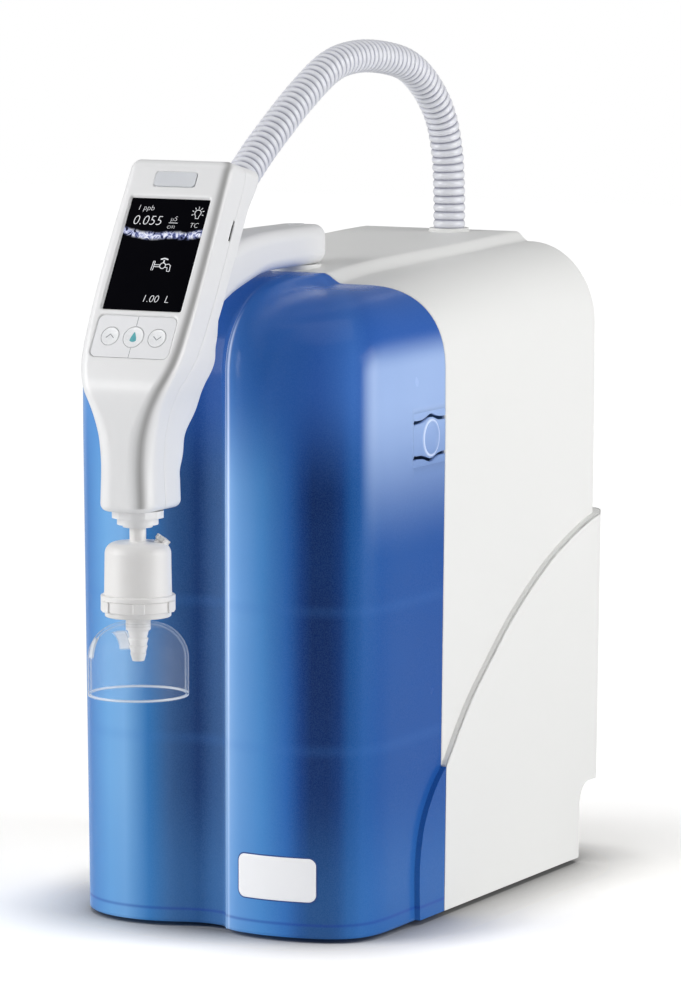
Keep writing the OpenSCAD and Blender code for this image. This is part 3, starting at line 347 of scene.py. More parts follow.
half_w, side_lean, corner_h = 112.0, 3.5, 52.0
shoulder_z, shoulder_rise, plateau_h = 392.0, 12.7, 6.3
housing_d, rear_y, seam_gap = 228.0, 236.0, 0.6
notch_y, notch_z, notch_round = 203.0, 49.5, 14.0


def ease(t):
    """0 to 1 with level ends: 3 t squared less 2 t cubed."""
    t = np.clip(t, 0, 1)
    return t * t * (3 - 2 * t)


def mix(a, b, t):
    """The value at share t of the way from a to b."""
    return a + (b - a) * t


def glide(x, knots):
    """A smooth line through the knots: cubic spans whose slopes at each knot are
    those of the chord between its neighbours."""
    k = np.asarray(knots, float)
    slope = np.gradient(k[:, 1], k[:, 0])
    x = np.clip(np.asarray(x, float), k[0, 0], k[-1, 0])
    i = np.clip(np.searchsorted(k[:, 0], x, "right") - 1, 0, len(k) - 2)
    h = k[i + 1, 0] - k[i, 0]
    u = (x - k[i, 0]) / h
    return ((2 * u ** 3 - 3 * u ** 2 + 1) * k[i, 1] + (u ** 3 - 2 * u ** 2 + u) * h * slope[i]
            + (3 * u ** 2 - 2 * u ** 3) * k[i + 1, 1] + (u ** 3 - u ** 2) * h * slope[i + 1])


def flank(z):
    """Half width of the side wall at height z: it leans in towards the foot."""
    return half_w - side_lean * (1 - np.minimum(1, z / 300.0))


def crown(t):
    """Right half of the housing's outline at share t of its depth: the flank, a
    superellipse corner, and the top with its S-shaped rise to the plateau."""
    e = 1 - (1 - t) ** 2
    n, xc = mix(2.4, 2.0, e), half_w - mix(56, 46, e)
    zs = mix(shoulder_z, shoulder_z + shoulder_rise, e)
    w = float(ease(t * 1.5))
    foot, top = mix(40, 64, w), mix(27.5, 55, w)
    wall_z = np.concatenate([np.linspace(0, notch_z - 0.01, 12), [notch_z],
                             np.linspace(60, zs - corner_h, 22)])
    f = np.radians(np.linspace(0, 90, 30))[1:]
    corner = np.stack([xc + (half_w - xc) * np.cos(f).clip(0) ** (2 / n),
                       zs - corner_h + corner_h * np.sin(f) ** (2 / n)], 1)
    x = np.linspace(xc, 0, 44)[1:]
    over = np.stack([x, zs + plateau_h * ease((foot - x) / (foot - top))], 1)
    return np.vstack([np.stack([flank(wall_z), wall_z], 1), corner, over])


def notch_limit(z):
    """The rear-most depth the housing may have at height z over the notch."""
    s = np.clip(1 - (notch_z - z) / notch_round, 0, 1)
    arc = notch_y + notch_round * (1 - np.sqrt(1 - s * s))
    return np.where(z >= notch_z, 999.0, arc)


def arch(y, t, inset):
    """The whole outline at depth y, shrunk by inset on the rounded rear edge."""
    right = crown(t)
    right = right - inset * unit(np.gradient(right, axis=0))[:, ::-1] * [1, -1] if inset else right
    right[:, 0] = right[:, 0].clip(0)
    full = np.vstack([right, (right * [-1, 1])[-2::-1]])
    return np.stack([full[:, 0], np.minimum(y, notch_limit(full[:, 1])), full[:, 1]], 1)


rear_round = 5.0
flat_end = housing_d - rear_round
body_grid = [arch(max(y, seam_gap), y / housing_d, 0) for y in
             np.concatenate([np.linspace(0, 60, 26), np.linspace(60, flat_end, 30)[1:]])]
body_grid += [arch(flat_end + rear_round * math.sin(f), 1, rear_round * (1 - math.cos(f)))
              for f in np.radians([15, 30, 45, 60, 75, 90])]
rear_rim = body_grid[-1]
body_grid += [rear_rim * [1 - s, 1, 1] for s in (0.3, 0.7, 1.0)]
body_grid = np.array(body_grid)

# Depth and height along the upper edge of a lower side panel.
step_line = spline([[0, 92], [30, 124.5], [60, 149], [100, 177.5], [150, 204], [200, 221.5], [236, 229]], 12)


def panel_x(z):
    """Outer face of the lower side panels, which lean out to their upper edge."""
    return mix(half_w, half_w + 3.0, z / 235.0)


def side_band(sign):
    """One side panel and its turn round the rear corner: at each station along
    the plan an upright loop of foot, outer face, rounded upper edge and inner
    face, between the lower cut-out and the step line."""
    turn_r, edge_r, wall = rear_y - 227.0, 1.8, 9.0
    y = np.concatenate([np.linspace(seam_gap, notch_y - 0.1, 60), np.linspace(notch_y + 0.1, 226.9, 20)])
    f = np.radians(np.linspace(0, 90, 9))
    straight = np.zeros(len(y))
    inset = np.concatenate([straight, turn_r * (1 - np.cos(f)), [turn_r]])
    inset[-1] += 2.0
    depth = np.concatenate([y, 227 + turn_r * np.sin(f), [rear_y]])
    inward = np.concatenate([straight, f, [math.pi / 2]])
    top = np.interp(depth, step_line[:, 0], step_line[:, 1])
    short = notch_y + notch_round - np.minimum(depth, notch_y + notch_round)
    arc = notch_z - notch_round + np.sqrt(np.clip(notch_round ** 2 - short ** 2, 0, None))
    low = np.where(depth < notch_y, 0.0, np.minimum(notch_z, arc))
    loop = [(mix(low, top - edge_r, share), 0.0) for share in np.linspace(0, 1, 14)[:-1]] + [(top, 0.0)]
    loop += [(top + edge_r * math.sin(k) - edge_r, -edge_r * (1 - math.cos(k)))
             for k in np.radians(np.linspace(0, 90, 7))]
    loop += [(top, -wall), (low, -wall)]
    grid = np.stack([np.stack([sign * (panel_x(z) - inset + into * np.cos(inward)),
                               depth + into * np.sin(inward), z], 1) for z, into in loop], 1)
    ends = [np.repeat(grid[:1].mean(1, keepdims=True), grid.shape[1], 1), grid,
            np.repeat(grid[-1:].mean(1, keepdims=True), grid.shape[1], 1)]
    return (np.concatenate(ends), False, True)


def rounded_loop(cx, cy, a, b, r, count=20):
    """A rectangle of half sizes a and b with corners of radius r, as one loop."""
    w = np.radians(np.linspace(0, 90, count))
    quarter = np.stack([np.cos(w), np.sin(w)], 1)
    loop = [turn * s * r + np.array(s) * [a - r, b - r]
            for turn, s in ((quarter, [1, 1]), (quarter[::-1], [-1, 1]),
                            (quarter, [-1, -1]), (quarter[::-1], [1, -1]))]
    return np.vstack(loop) + [cx, cy]


def rear_loop(a, z0, z1, r, y):
    """A rounded rectangle in the plane of the rear face."""
    loop = rounded_loop(0, (z0 + z1) / 2, a, (z1 - z0) / 2, r)
    return np.stack([loop[:, 0], np.full(len(loop), y), loop[:, 1]], 1)


# From the foot of the raised rear face, over its rounded edge, to the recess.
rear_face = np.array([rear_loop(*sizes) for sizes in (
    (104.2, notch_z, 229, 1.8, 227), (104.2, notch_z, 229, 1.8, 234.8),
    (103.6, notch_z + 0.5, 228.4, 1.6, 235.6), (103, notch_z + 1.2, 227.8, 1.4, rear_y),
    (79, 63, 209, 3.0, rear_y), (78.3, 63.7, 208.3, 2.4, 235.6),
    (78, 64, 208, 2.2, 233.1), (78, 64, 208, 2.2, 227))])
gland_x, gland_y, gland_z = 14.0, 207.0, 411.8
swivel_y, pad_z = 16.0, 399.7


def turned(cx, cy, profile, count=72):
    """A profile of (radius, height) pairs turned round an upright axis."""
    p = np.asarray(profile, float)
    w = np.linspace(0, 2 * np.pi, count, endpoint=False)
    return (np.stack([cx + p[:, :1] * np.cos(w), cy + p[:, :1] * np.sin(w),
                      np.broadcast_to(p[:, 1:], (len(p), count))], -1), False, True)


def housing_paint(place):
    """Grey white with spark pits, broken up by a finer noise."""
    spark = place.grain(1150)
    fine = place.noise(2400, 2)
    broad = place.noise(6, 3)
    return {"Base Color": (broad * 0.6).blend(tint(231, 231, 229), tint(238, 238, 236)),
            "Roughness": 0.46 + 0.14 * fine,
            "Normal": place.relief(spark * 0.6 + fine * 0.4, 0.0004)}


housing_coat = finish("housing_white", {"IOR": 1.46, "Specular IOR Level": 0.42}, housing_paint)
piece("housing_shell", [(body_grid, False, False)], housing_coat, "housing", ("rear_housing",),
      crease=32, wall=2.6, core=(0, 110, 200))
piece("housing_side_panels", [side_band(1), side_band(-1), (rear_face, False, True)], housing_coat,
      "housing", crease=32)
piece("housing_bosses", [
    turned(gland_x, gland_y, [(0, 404), (13.6, 404), (13.6, gland_z - 0.5), (13.1, gland_z),
                              (9, gland_z), (0, gland_z)]),
    turned(0, swivel_y, [(0, 390), (15.4, 390), (15.4, pad_z - 0.3), (15.1, pad_z), (0, pad_z)])],
    housing_coat, "housing")

# ---- Front cover ------------------------------------------------------------
# One translucent blue moulding with a satin face. Its left side sweeps in to a
# valley and its right side bulges out over the cartridge, and a narrow double
# bead runs up between them and bends back over the dome to the plateau.

cover_d, cap_x, cap_d, cover_wall = 118.0, 56.0, 26.0, 2.4
latch_z, latch_root, latch_half = 301.0, -45.0, 16.6
# The wall seen from above, from the right end of the seam round to the left.
cover_plan = spline([
    [112, 0], [112, -14], [112, -28], [112.1, -45], [112.2, -58], [112, -76], [110.3, -89],
    [106.5, -98.5], [100.5, -105.5], [92, -111], [80, -115], [64, -117.6], [46, -118], [30, -115.6],
    [22, -112.8], [17.5, -110.2], [16, -108.9],
    [14.8, -107.3], [13.4, -105.2], [11, -103.6], [8, -102.6], [-3, -101.2], [-15, -103], [-27, -107],
    [-40, -109.6], [-54, -109.6], [-67, -107.2], [-79, -102.2], [-90, -94], [-99.5, -82.5],
    [-107, -66], [-111, -45], [-112, -24], [-112, 0]], 9)
girth = np.linspace(0, 1, len(cover_plan))


def run_height(x, y):
    """Height of the plateau's forward run over the dome at (x, y)."""
    s = np.clip(-y / 100, 0, 1)
    edge, soft = mix(33.7, 17, s), mix(6.5, 10, s)
    return plateau_h * (1 - ease(s)) * ease((edge + soft - np.abs(x)) / (2 * soft))


def cover_row(width, depth, z):
    """The plan outline scaled to a half width and a depth, at height z."""
    x, y = cover_plan[:, 0] / half_w * width, cover_plan[:, 1] / cover_d * depth
    return np.stack([x, y, z + (run_height(x, y) if z > shoulder_z - corner_h else 0 * x)], 1)


wall_rows = np.concatenate([np.linspace(0, 12, 7), np.linspace(12, latch_z - latch_half, 40)[1:],
                            np.linspace(latch_z - latch_half, latch_z + latch_half, 9)[1:],
                            np.linspace(latch_z + latch_half, shoulder_z - corner_h, 6)[1:-1]])
dome_angles, dome_power = np.radians(np.linspace(0, 90, 50)), 2 / 2.4
cover_grid = [cover_row(float(flank(z)), cover_d, z) for z in wall_rows]
cover_grid += [cover_row(half_w - cap_x + cap_x * max(math.cos(f), 0) ** dome_power,
                         cap_d + (cover_d - cap_d) * max(math.cos(f), 0) ** dome_power,
                         shoulder_z - corner_h + corner_h * math.sin(f) ** dome_power)
               for f in dome_angles]
brow = cover_grid[-1]
for share in np.linspace(0, 1, 9)[1:]:
    brow_x = mix(brow[:, 0], 28 * np.cos(np.pi * girth), share)
    brow_y = mix(brow[:, 1], 0, share)
    cover_grid.append(np.stack([brow_x, brow_y, shoulder_z + run_height(brow_x, brow_y)], 1))
cover_grid = np.array(cover_grid)

# The double bead: two fine ridges either side of the step, fading on the dome.
# The places that catch the light on it are kept for the material, which paints a highlight there.
along = np.concatenate([[0], np.cumsum(np.linalg.norm(np.diff(cover_plan, axis=0), axis=1))])
step_at = along[int(np.argmin(np.hypot(cover_plan[:, 0] - 14.8, cover_plan[:, 1] + 107.3)))]
bead = np.exp(-((along - step_at - 2.7) / 1.1) ** 2) + np.exp(-((along - step_at + 2.7) / 1.1) ** 2)
fade = ease((385 - cover_grid[:, :, 2]) / 25)
cover_grid[:, :, 1] -= 1.1 * bead * fade
ridge_highlight_marks = (0.8 * np.exp(-((along - step_at + 5.4) / 1.3) ** 2)
               + np.exp(-((along - step_at + 2.3) / 0.75) ** 2))
ridge_highlight_marks = ridge_highlight_marks * fade * mix(0.35, 1, ease((cover_grid[:, :, 2] - 60) / 200))


def cover_colour(place):
    """Colour round the girth of the cover, part of it the inside showing through and
    part painted light: a dark upright band over the cartridge, where it shows
    through, deepened by painted shade; a pale band beside the bead, a painted
    reflection; and on the left a dark band over the pump that turns pale towards
    the corner in a painted reflection. The dome is painted darker and even, a
    painted shade, the upper sides carry a pale painted reflection of a window,
    and the foot is painted lighter, a painted glow."""
    around, height, across_x = place.mark("girth"), place.part("Z"), place.part("X")
    lit = around.node("ShaderNodeValToRGB", {"stops": [
        (0.00, tint(20, 66, 134)), (0.17, tint(22, 70, 136)), (0.212, tint(30, 80, 144)),
        (0.242, tint(24, 72, 132)), (0.262, tint(10, 42, 98)), (0.282, tint(4, 28, 78)),
        (0.305, tint(4, 28, 78)), (0.318, tint(12, 48, 110)), (0.335, tint(38, 90, 158)),
        (0.364, tint(68, 126, 184)), (0.43, tint(118, 160, 206)), (0.485, tint(136, 172, 212)),
        (0.56, tint(64, 92, 132)), (0.62, tint(40, 70, 112)), (0.65, tint(6, 34, 80)),
        (0.697, tint(50, 84, 128)), (0.727, tint(44, 104, 160)), (0.765, tint(112, 160, 204)),
        (0.795, tint(104, 156, 202)), (0.85, tint(60, 112, 172)), (0.92, tint(146, 180, 222)),
        (0.96, tint(90, 132, 190)), (1.00, tint(34, 84, 154))]}, {0: around})
    upper = around.node("ShaderNodeValToRGB", {"stops": [
        (0.00, tint(40, 78, 152)), (0.20, tint(40, 80, 154)), (0.24, tint(58, 102, 174)),
        (0.30, tint(42, 82, 156)), (0.36, tint(38, 86, 156)), (0.43, tint(66, 116, 180)),
        (0.50, tint(56, 100, 166)), (0.65, tint(28, 64, 130)), (0.75, tint(60, 112, 176)),
        (0.85, tint(88, 138, 194)), (1.00, tint(40, 78, 152))]}, {0: around})
    colour = height.rise(0.27, 0.345).blend(lit, upper)
    # near and far: the upper right and upper left sides, where a pale painted reflection of a window lies.
    near = across_x.rise(0.1035, 0.1095) * height.rise(0.232, 0.335) * (1 - height.rise(0.350, 0.372))
    far = (0 - across_x).rise(0.088, 0.106) * height.rise(0.2, 0.31) * (1 - height.rise(0.345, 0.37))
    shelves = height.bump_at(0.119, 0.006) + height.bump_at(0.205, 0.006)
    # Painted light over the colour: a lighter foot (painted glow), a darker dome (painted shade) and the pale
    # window reflections.
    for share, towards in (
            ((1 - height.rise(0.02, 0.10)) * 0.25, tint(70, 130, 190)),
            (height.rise(0.345, 0.40) * 0.75, tint(34, 78, 148)),
            ((shelves * 0.12).limited(), tint(60, 110, 176)),
            ((near + far * 0.8).limited() * 0.66, tint(176, 198, 230)),
            (place.noise(1500, 2).rise(0.35, 0.65) * 0.05, tint(120, 160, 210)),
            (place.noise(9, 2) * 0.18, tint(24, 88, 160))):
        colour = share.blend(colour, towards)
    return colour


def cover_paint(place):
    """The colour, a dark line over the foot where the inner skirt shows, and a pale
    painted highlight along the bead. The cover also glows weakly in its own colour,
    painted light that stands in for light held in the blue plastic."""
    skirt_line = place.part("Z").bump_at(0.0112, 0.0016)
    colour = (skirt_line * 0.45).blend(cover_colour(place), tint(28, 48, 140))
    # A pale painted highlight along the bead and the latch ring.
    colour = (place.mark("ridge") * 0.92).limited().blend(colour, tint(214, 225, 246))
    return {"Base Color": colour, "Emission Color": colour, "Roughness": 0.20 + 0.10 * place.noise(40, 2),
            "Alpha": 1.0 - 0.05 * place.noise(14, 2),
            "Normal": place.relief(place.grain(1700), 0.00007)}


# The Emission Strength is the cover's painted glow; the cover is no lamp.
cover_coat = finish("cover_blue", {"IOR": 1.5, "Specular IOR Level": 0.1, "Coat Weight": 0.07,
                                  "Coat Roughness": 0.1, "Emission Strength": 0.37}, cover_paint)


def latch_hole(p):
    """True for the squares inside the opening that the latch moves in."""
    return (np.abs(p[:, 2] - latch_z) < latch_half) & (p[:, 1] > latch_root) & (np.abs(p[:, 0]) > 100)


piece("cover_shell", [(cover_grid, False, False)], cover_coat, "cover", ("front_cover",),
      crease=50, wall=cover_wall, weld=False, skip=latch_hole, core=(0, -40, 200),
      marks={"girth": np.broadcast_to(girth, cover_grid.shape[:2]), "ridge": ridge_highlight_marks})


def cover_x(y, z):
    """Half width of the right side of the cover at (y, z)."""
    side = cover_plan[(cover_plan[:, 0] > 60) & (cover_plan[:, 1] > -90)]
    return np.interp(-y, -side[:, 1], side[:, 0]) * flank(z) / half_w


def step_panel(sign):
    """The lower side panel where it runs on over the cover, ending in a rounded
    nose: stations along its edge line, each a loop from the seam to the edge."""
    seam_y, edge_r, wall = -0.2, 1.6, 6.0
    edge = even(spline([[0, 91.8], [-10, 84.3], [-20, 73.8], [-29, 60], [-34, 43], [-35.4, 25],
                        [-34, 0]], 10), 60)
    loop = [(s, 0.0) for s in np.linspace(0, 0.985, 10)]
    loop += [(1.0, -edge_r * (1 - math.cos(a))) for a in np.radians(np.linspace(0, 90, 7))]
    loop += [(1.0, -wall), (0.0, -wall)]
    y, z = edge[:, 0], edge[:, 1]
    grid = np.stack([np.stack([sign * (panel_x(z) + into), seam_y + s * (y - seam_y), z], 1)
                     for s, into in loop], 1)
    return (grid, False, True)


ring_y, ring_r, ring_tall = -20.0, 10.4, 1.02
latch_y = np.linspace(latch_root, 0, 90)


def slot_line(y):
    """Height of the wavy slot over the middle of the latch at depth y: it swells
    round the ring as a bell curve."""
    return 10.9 + 3.0 * np.exp(-((y - ring_y) / 8) ** 2)


def latch_grid(low, high, sign, raised=False):
    """Part of the cover's side between two height lines round the latch. The
    tongue is raised in a ring and hollow inside it, and starts past a gap."""
    s = np.linspace(0, 1, 60)[:, None]
    z = latch_z + low + (high - low) * s
    y = np.broadcast_to(latch_y, z.shape)
    x = cover_x(y, z)
    if raised:
        y = np.maximum(y, latch_root + 0.6)
        r = np.hypot(y - ring_y, (z - latch_z) / ring_tall)
        x = x + 0.85 * np.exp(-(r - ring_r) ** 2) - 0.7 * ease((ring_r - 1 - r) / 3)
    return (np.stack([sign * x, y, z], -1), False, False)


def ring_highlight_marks(low, high):
    """How much painted highlight each point of the latch gets: its raised ring is painted pale where it
    catches the light.
    """
    s = np.linspace(0, 1, 60)[:, None]
    r = np.hypot(latch_y - ring_y, (low + (high - low) * s) / ring_tall)
    return 0.7 * np.exp(-((r - ring_r - 0.4) / 0.7) ** 2)


# The slot's half width swells to a round end at the root.
from_root = latch_y - latch_root
slot_half = ((1.15 + 0.6 * np.exp(-((from_root - 1.9) / 1.5) ** 2))
             * np.sqrt(1 - (1 - np.clip(from_root / 3.2, 0, 1)) ** 2))
tongue_edge, slot_edge = slot_line(latch_y) - slot_half, slot_line(latch_y) + slot_half
hole_edge, latch_shade = np.full(90, latch_half), np.full(60 * 90, 0.08)
for side, sign in (("right", 1), ("left", -1)):
    piece(f"latch_tongue_{side}", [latch_grid(-tongue_edge, tongue_edge, sign, True)], cover_coat,
          f"{side}_latch", (f"latch_{side}",), wall=cover_wall, weld=False, core=(0, -20, 300),
          marks={"girth": latch_shade, "ridge": ring_highlight_marks(-tongue_edge, tongue_edge)})
    piece(f"latch_surround_{side}", [latch_grid(slot_edge, hole_edge, sign),
                                     latch_grid(-hole_edge, -slot_edge, sign)],
          cover_coat, "cover", wall=cover_wall, weld=False, core=(0, -20, 300),
          marks={"girth": np.tile(latch_shade, 2)})

piece("cover_side_panels", [step_panel(1), step_panel(-1)], cover_coat, "cover",
      crease=45)


def plate_paint(place):
    """Printed white, nearly even."""
    fine = place.noise(500, 2)
    return {"Base Color": (place.noise(30, 2) * 0.8).blend(tint(236, 236, 238), tint(244, 244, 245)),
            "Roughness": 0.26 + 0.1 * fine}


# The badge's white Emission is a faint painted glow; the badge is no lamp.
plate_coat = finish("badge_white", {"IOR": 1.5, "Coat Weight": 0.3, "Coat Roughness": 0.08,
                                    "Emission Color": (1, 1, 1, 1), "Emission Strength": 0.14}, plate_paint)


def rim_paint(place):
    """The cover's blue, darker in the pocket round the badge."""
    return {"Base Color": place.noise(60, 2).blend(tint(28, 64, 130), tint(40, 84, 152)),
            "Roughness": 0.3 + 0.1 * place.noise(200)}


rim_coat = finish("badge_rim", {"IOR": 1.5}, rim_paint)


def on_cover(loop, proud):
    """A plan loop of (x, z) laid on the front of the cover, this far out of it."""
    front = cover_plan[(cover_plan[:, 1] < -90) & (cover_plan[:, 0] > 18)][::-1]
    y = np.interp(loop[:, 0], front[:, 0] * 0.975, front[:, 1])
    return np.stack([loop[:, 0], y - proud, loop[:, 1]], 1)


badge_x, badge_z, badge_a, badge_b, badge_r = 54, 36, 26.5, 13.5, 4.7


def badge_loop(inset):
    """The badge's rounded rectangle, shrunk by inset, with points between its
    corners too, so that it follows the bulge of the cover."""
    loop = rounded_loop(badge_x, badge_z, badge_a - inset, badge_b - inset, max(badge_r - inset, 0.3))
    between = np.linspace(0, 1, 18)[1:-1, None]
    return np.vstack([np.vstack([loop[i:i + 20], mix(loop[i + 19], loop[(i + 20) % 80], between)])
                      for i in (0, 20, 40, 60)])


badge_rows = [on_cover(badge_loop(inset), proud) for inset, proud in (
    (0, -1.2), (0, 0.25), (0.12, 0.47), (0.4, 0.58), (3, 0.58), (8, 0.58), (13.2, 0.58))]
badge_rows.append(badge_rows[-1] * [1, 1, 0] + [0, 0, badge_z])
piece("badge_plate", [(np.array(badge_rows), False, True)], plate_coat, "cover", ("cover_badge",),
      crease=50)
rim_rows = [on_cover(badge_loop(inset), proud) for inset, proud in (
    (-0.9, -0.6), (-0.8, 0.1), (-0.1, 0.1), (0.1, -0.6))]
piece("badge_pocket", [(np.array(rim_rows), False, True)], rim_coat, "cover",
      crease=50)

# ---- Arm --------------------------------------------------------------------
# A white moulded arm, 36 mm wide. Its rounded rear end sits on the turret, it
# runs level over the seam and dips to the handpiece, which its end fits round.

arm_z, arm_top, arm_half, arm_round = 402.5, 427.0, 18.0, 8.0
face_tilt, face_y, face_z, head_depth = math.radians(30.5), -149.0, 453.5, 41.8
# Depth, and how far the underside and the top lie below the level part.
arm_line = spline([[4, 0, 0], [-20, 0, -0.2], [-46, 0.5, 0], [-60, 1.9, 0.6], [-76, 5.5, 2],
                   [-88, 8.5, 3.8], [-99, 11.7, 6.4], [-110, 15.9, 9.6], [-121, 20.9, 13.4],
                   [-133, 26.9, 18], [-146, 33.5, 23.4], [-160, 40.5, 29]], 8)


def rake(z):
    """Depth of the handpiece's sloping face at height z."""
    return face_y - (face_z - z) * math.tan(face_tilt)


def arm_ring(y, low, high, half, radius):
    """The arm's section at depth y: an upright rounded rectangle."""
    loop = rounded_loop(0, (low + high) / 2, half, (high - low) / 2, radius)
    return np.stack([loop[:, 0], np.full(len(loop), float(y)), loop[:, 1]], 1)


# A half-round rear end whose top and foot round off, then the arm's own line.
rings = []
for f in np.radians(np.linspace(89, 2, 30)):
    drop, narrow = 3.2 * math.sin(f) ** 4, arm_half * math.cos(f)
    rings.append(arm_ring(swivel_y + arm_half * math.sin(f), arm_z + drop, arm_top - drop * 1.6,
                          narrow, min(arm_round, narrow * 0.6)))
rings += [arm_ring(y, arm_z - under, arm_top - over, arm_half, arm_round) for y, under, over in arm_line]
rings = np.array(rings)
# Each line along the arm stops 0.75 mm short of the back of the handpiece.
past = rings[:, :, 1] - np.maximum(-148.4, rake(rings[:, :, 2]) + head_depth + 0.75)
arm_grid = []
for line, gap in zip(rings.transpose(1, 0, 2), past.T):
    beyond = np.nonzero(gap < 0)[0]
    k = beyond[0] if len(beyond) else len(rings) - 1
    at = np.linspace(0, k - 1 + gap[k - 1] / (gap[k - 1] - gap[k]), 150)
    arm_grid.append(np.stack([np.interp(at, np.arange(len(rings)), line[:, c]) for c in range(3)], 1))
arm_grid = np.stack(arm_grid, 1)
arm_end, middle = arm_grid[-1], arm_grid[-1].mean(0)
tail = np.array([middle + (arm_end - middle) * share for share in (0.985, 0.6, 0.3, 0.0)])
rear_tip = np.repeat(arm_grid[:1].mean(1, keepdims=True), arm_grid.shape[1], 1)
arm_grid = np.concatenate([rear_tip, arm_grid, tail])


def gloss_paint(place):
    """Smooth white that drifts a little in colour and gloss."""
    fine = place.noise(700, 2)
    broad = place.noise(12, 3)
    return {"Base Color": (broad * 0.8).blend(tint(232, 232, 232), tint(240, 240, 241)),
            "Roughness": 0.30 + 0.10 * fine,
            "Normal": place.relief(fine, 0.00003)}


gloss_coat = finish("arm_gloss", {"IOR": 1.5, "Coat Weight": 0.2, "Coat Roughness": 0.15}, gloss_paint)
piece("arm_shell", [(arm_grid, False, True)], gloss_coat, "arm", ("support_arm",), crease=50)

# ---- Handpiece --------------------------------------------------------------
# Two white mouldings meet along a fine line down each side. The head carries a
# display window, a keypad and a badge in shallow recesses, and the handle below
# swells behind into a grip with finger waves.

face_origin = np.array([0, face_y, face_z])
up_face = np.array([0, math.sin(face_tilt), math.cos(face_tilt)])
out_face = np.array([0, -math.cos(face_tilt), math.sin(face_tilt)])
low_front, low_back, grip_foot, head_top, edge_round = -214.0, -160.6, 269.0, 475.0, 4.5


def face(x, v, n):
    """A place on the sloping face: x across, v up from the display's upper edge
    and n out of the face, to the seam frame."""
    x, v, n = np.broadcast_arrays(np.asarray(x, float), v, n)
    return x[..., None] * [1.0, 0, 0] + face_origin + v[..., None] * up_face + n[..., None] * out_face


def grip_front(z):
    """Depth of the front at height z: upright, then over to the sloping face."""
    low = glide(z, [(269, low_front), (325, low_front), (335, low_front), (343, -213.2),
                    (352, -208.79), (356, -206.4), (362, rake(362))])
    return np.where(z > 352, rake(z), np.maximum(low_front, low))


def grip_back(z):
    """Depth of the back at height z: finger waves, cosines 27 mm apart, blended
    into the slope of the head by a soft maximum."""
    low = low_back + glide(z, [(269, -0.8), (292, 0), (305, 2.8), (320, 7.6), (332, 9.4), (345, 10),
                               (480, 10)])
    fading = np.clip((z - 285) / 10, 0, 1) * np.clip((372 - z) / 10, 0, 1)
    wave = 1.45 * np.cos(2 * np.pi * (z - 300) / 27) * fading
    a, b = rake(z) + head_depth, low + wave
    return 0.5 * (a + b + np.sqrt((a - b) ** 2 + 0.3)) - 0.25


def grip_half(z):
    """Half width at height z: the narrow handle flares out to the head."""
    return 18 + 17 * glide(z, [(269, 0), (304, 0), (314, 0.06), (322, 0.16), (332, 0.34), (341, 0.57),
                               (350, 0.77), (357, 0.89), (366, 0.97), (376, 1), (480, 1)])


def grip_round(z):
    """Radius of the upright corners at height z."""
    return glide(z, [(269, 12), (318, 12), (335, 9.6), (350, 8), (376, 6), (480, 6)])


# Depth and height along the parting line of the two mouldings.
split_line = spline([[-188.5, 264], [-190.5, 300], [-190.8, 332], [-189.3, 344.4], [-181, 356], [-150, 409],
                     [-128, 448], [-118, 471], [-114, 490]], 12)
split_line = np.maximum.accumulate(split_line[:, 1]), split_line[:, 0]


def shell_strip(front):
    """One moulding of the handpiece: level strips from the parting line on one
    side, round the front or the back, to the parting line on the other side."""
    top_tilt = 0.22
    rows = [(grip_foot + edge_round * (1 - math.cos(a)), edge_round * (1 - math.sin(a)))
            for a in np.radians(np.linspace(0, 75, 7))]
    rows += [(z, 0.0) for z in np.concatenate([np.arange(273.5, 356, 1.5), np.arange(356, 470.4, 0.65),
                                               [470.5]])]
    rows += [(head_top - edge_round * (1 - math.sin(a)), edge_round * (1 - math.cos(a)))
             for a in np.radians(np.linspace(12, 90, 10))]
    across_face = np.linspace(-1, 1, 127 if front else 41)
    turns = np.radians(np.linspace(0, 90, 13))[1:-1]
    out = []
    for z, inset in rows:
        f, b = float(grip_front(z)) + inset, float(grip_back(z)) - inset
        half, radius = float(grip_half(z)) - inset, max(1.5, float(grip_round(z)) - inset)
        part = float(np.interp(z, *split_line))
        y0, sign = (f, 1) if front else (b, -1)
        wall = np.linspace(part - sign * 0.25, y0 + sign * radius, 40 if front else 10)
        left = [[-(half - 0.9), part], [-half + 0.25, wall[0]]] + [[-half, y] for y in wall[1:]]
        left += [[-(half - radius) - radius * math.cos(a), y0 + sign * radius * (1 - math.sin(a))]
                 for a in turns]
        line = np.array(left + [[s * (half - radius), y0] for s in across_face])
        line = np.vstack([line, (line[:len(left)] * [-1, 1])[::-1]])
        tilt = top_tilt * float(ease((z - 440) / 30))
        out.append(np.column_stack([line, z - tilt * (line[:, 1] - f)]))
    grid = np.array(out)
    caps = []
    for rim, tilt in ((grid[0], 0.0), (grid[-1], top_tilt)):
        part = float(np.interp(rim[:, 2].mean(), *split_line))
        inward = [mix(rim[:, 1], part, s) for s in (0.15, 0.4, 0.7, 1.0)]
        caps.append(np.array([np.column_stack([rim[:, 0], y, rim[:, 2] + tilt * (rim[:, 1] - y)])
                              for y in inward]))
    return np.concatenate([caps[0][::-1], grid, caps[1]])


def box_distance(x, v, cx, cv, a, b, r):
    """Distance outside a rounded rectangle, less than 0 inside it."""
    p, q = np.abs(x - cx) - (a - r), np.abs(v - cv) - (b - r)
    return np.hypot(p.clip(0), q.clip(0)) + np.minimum(np.maximum(p, q), 0) - r


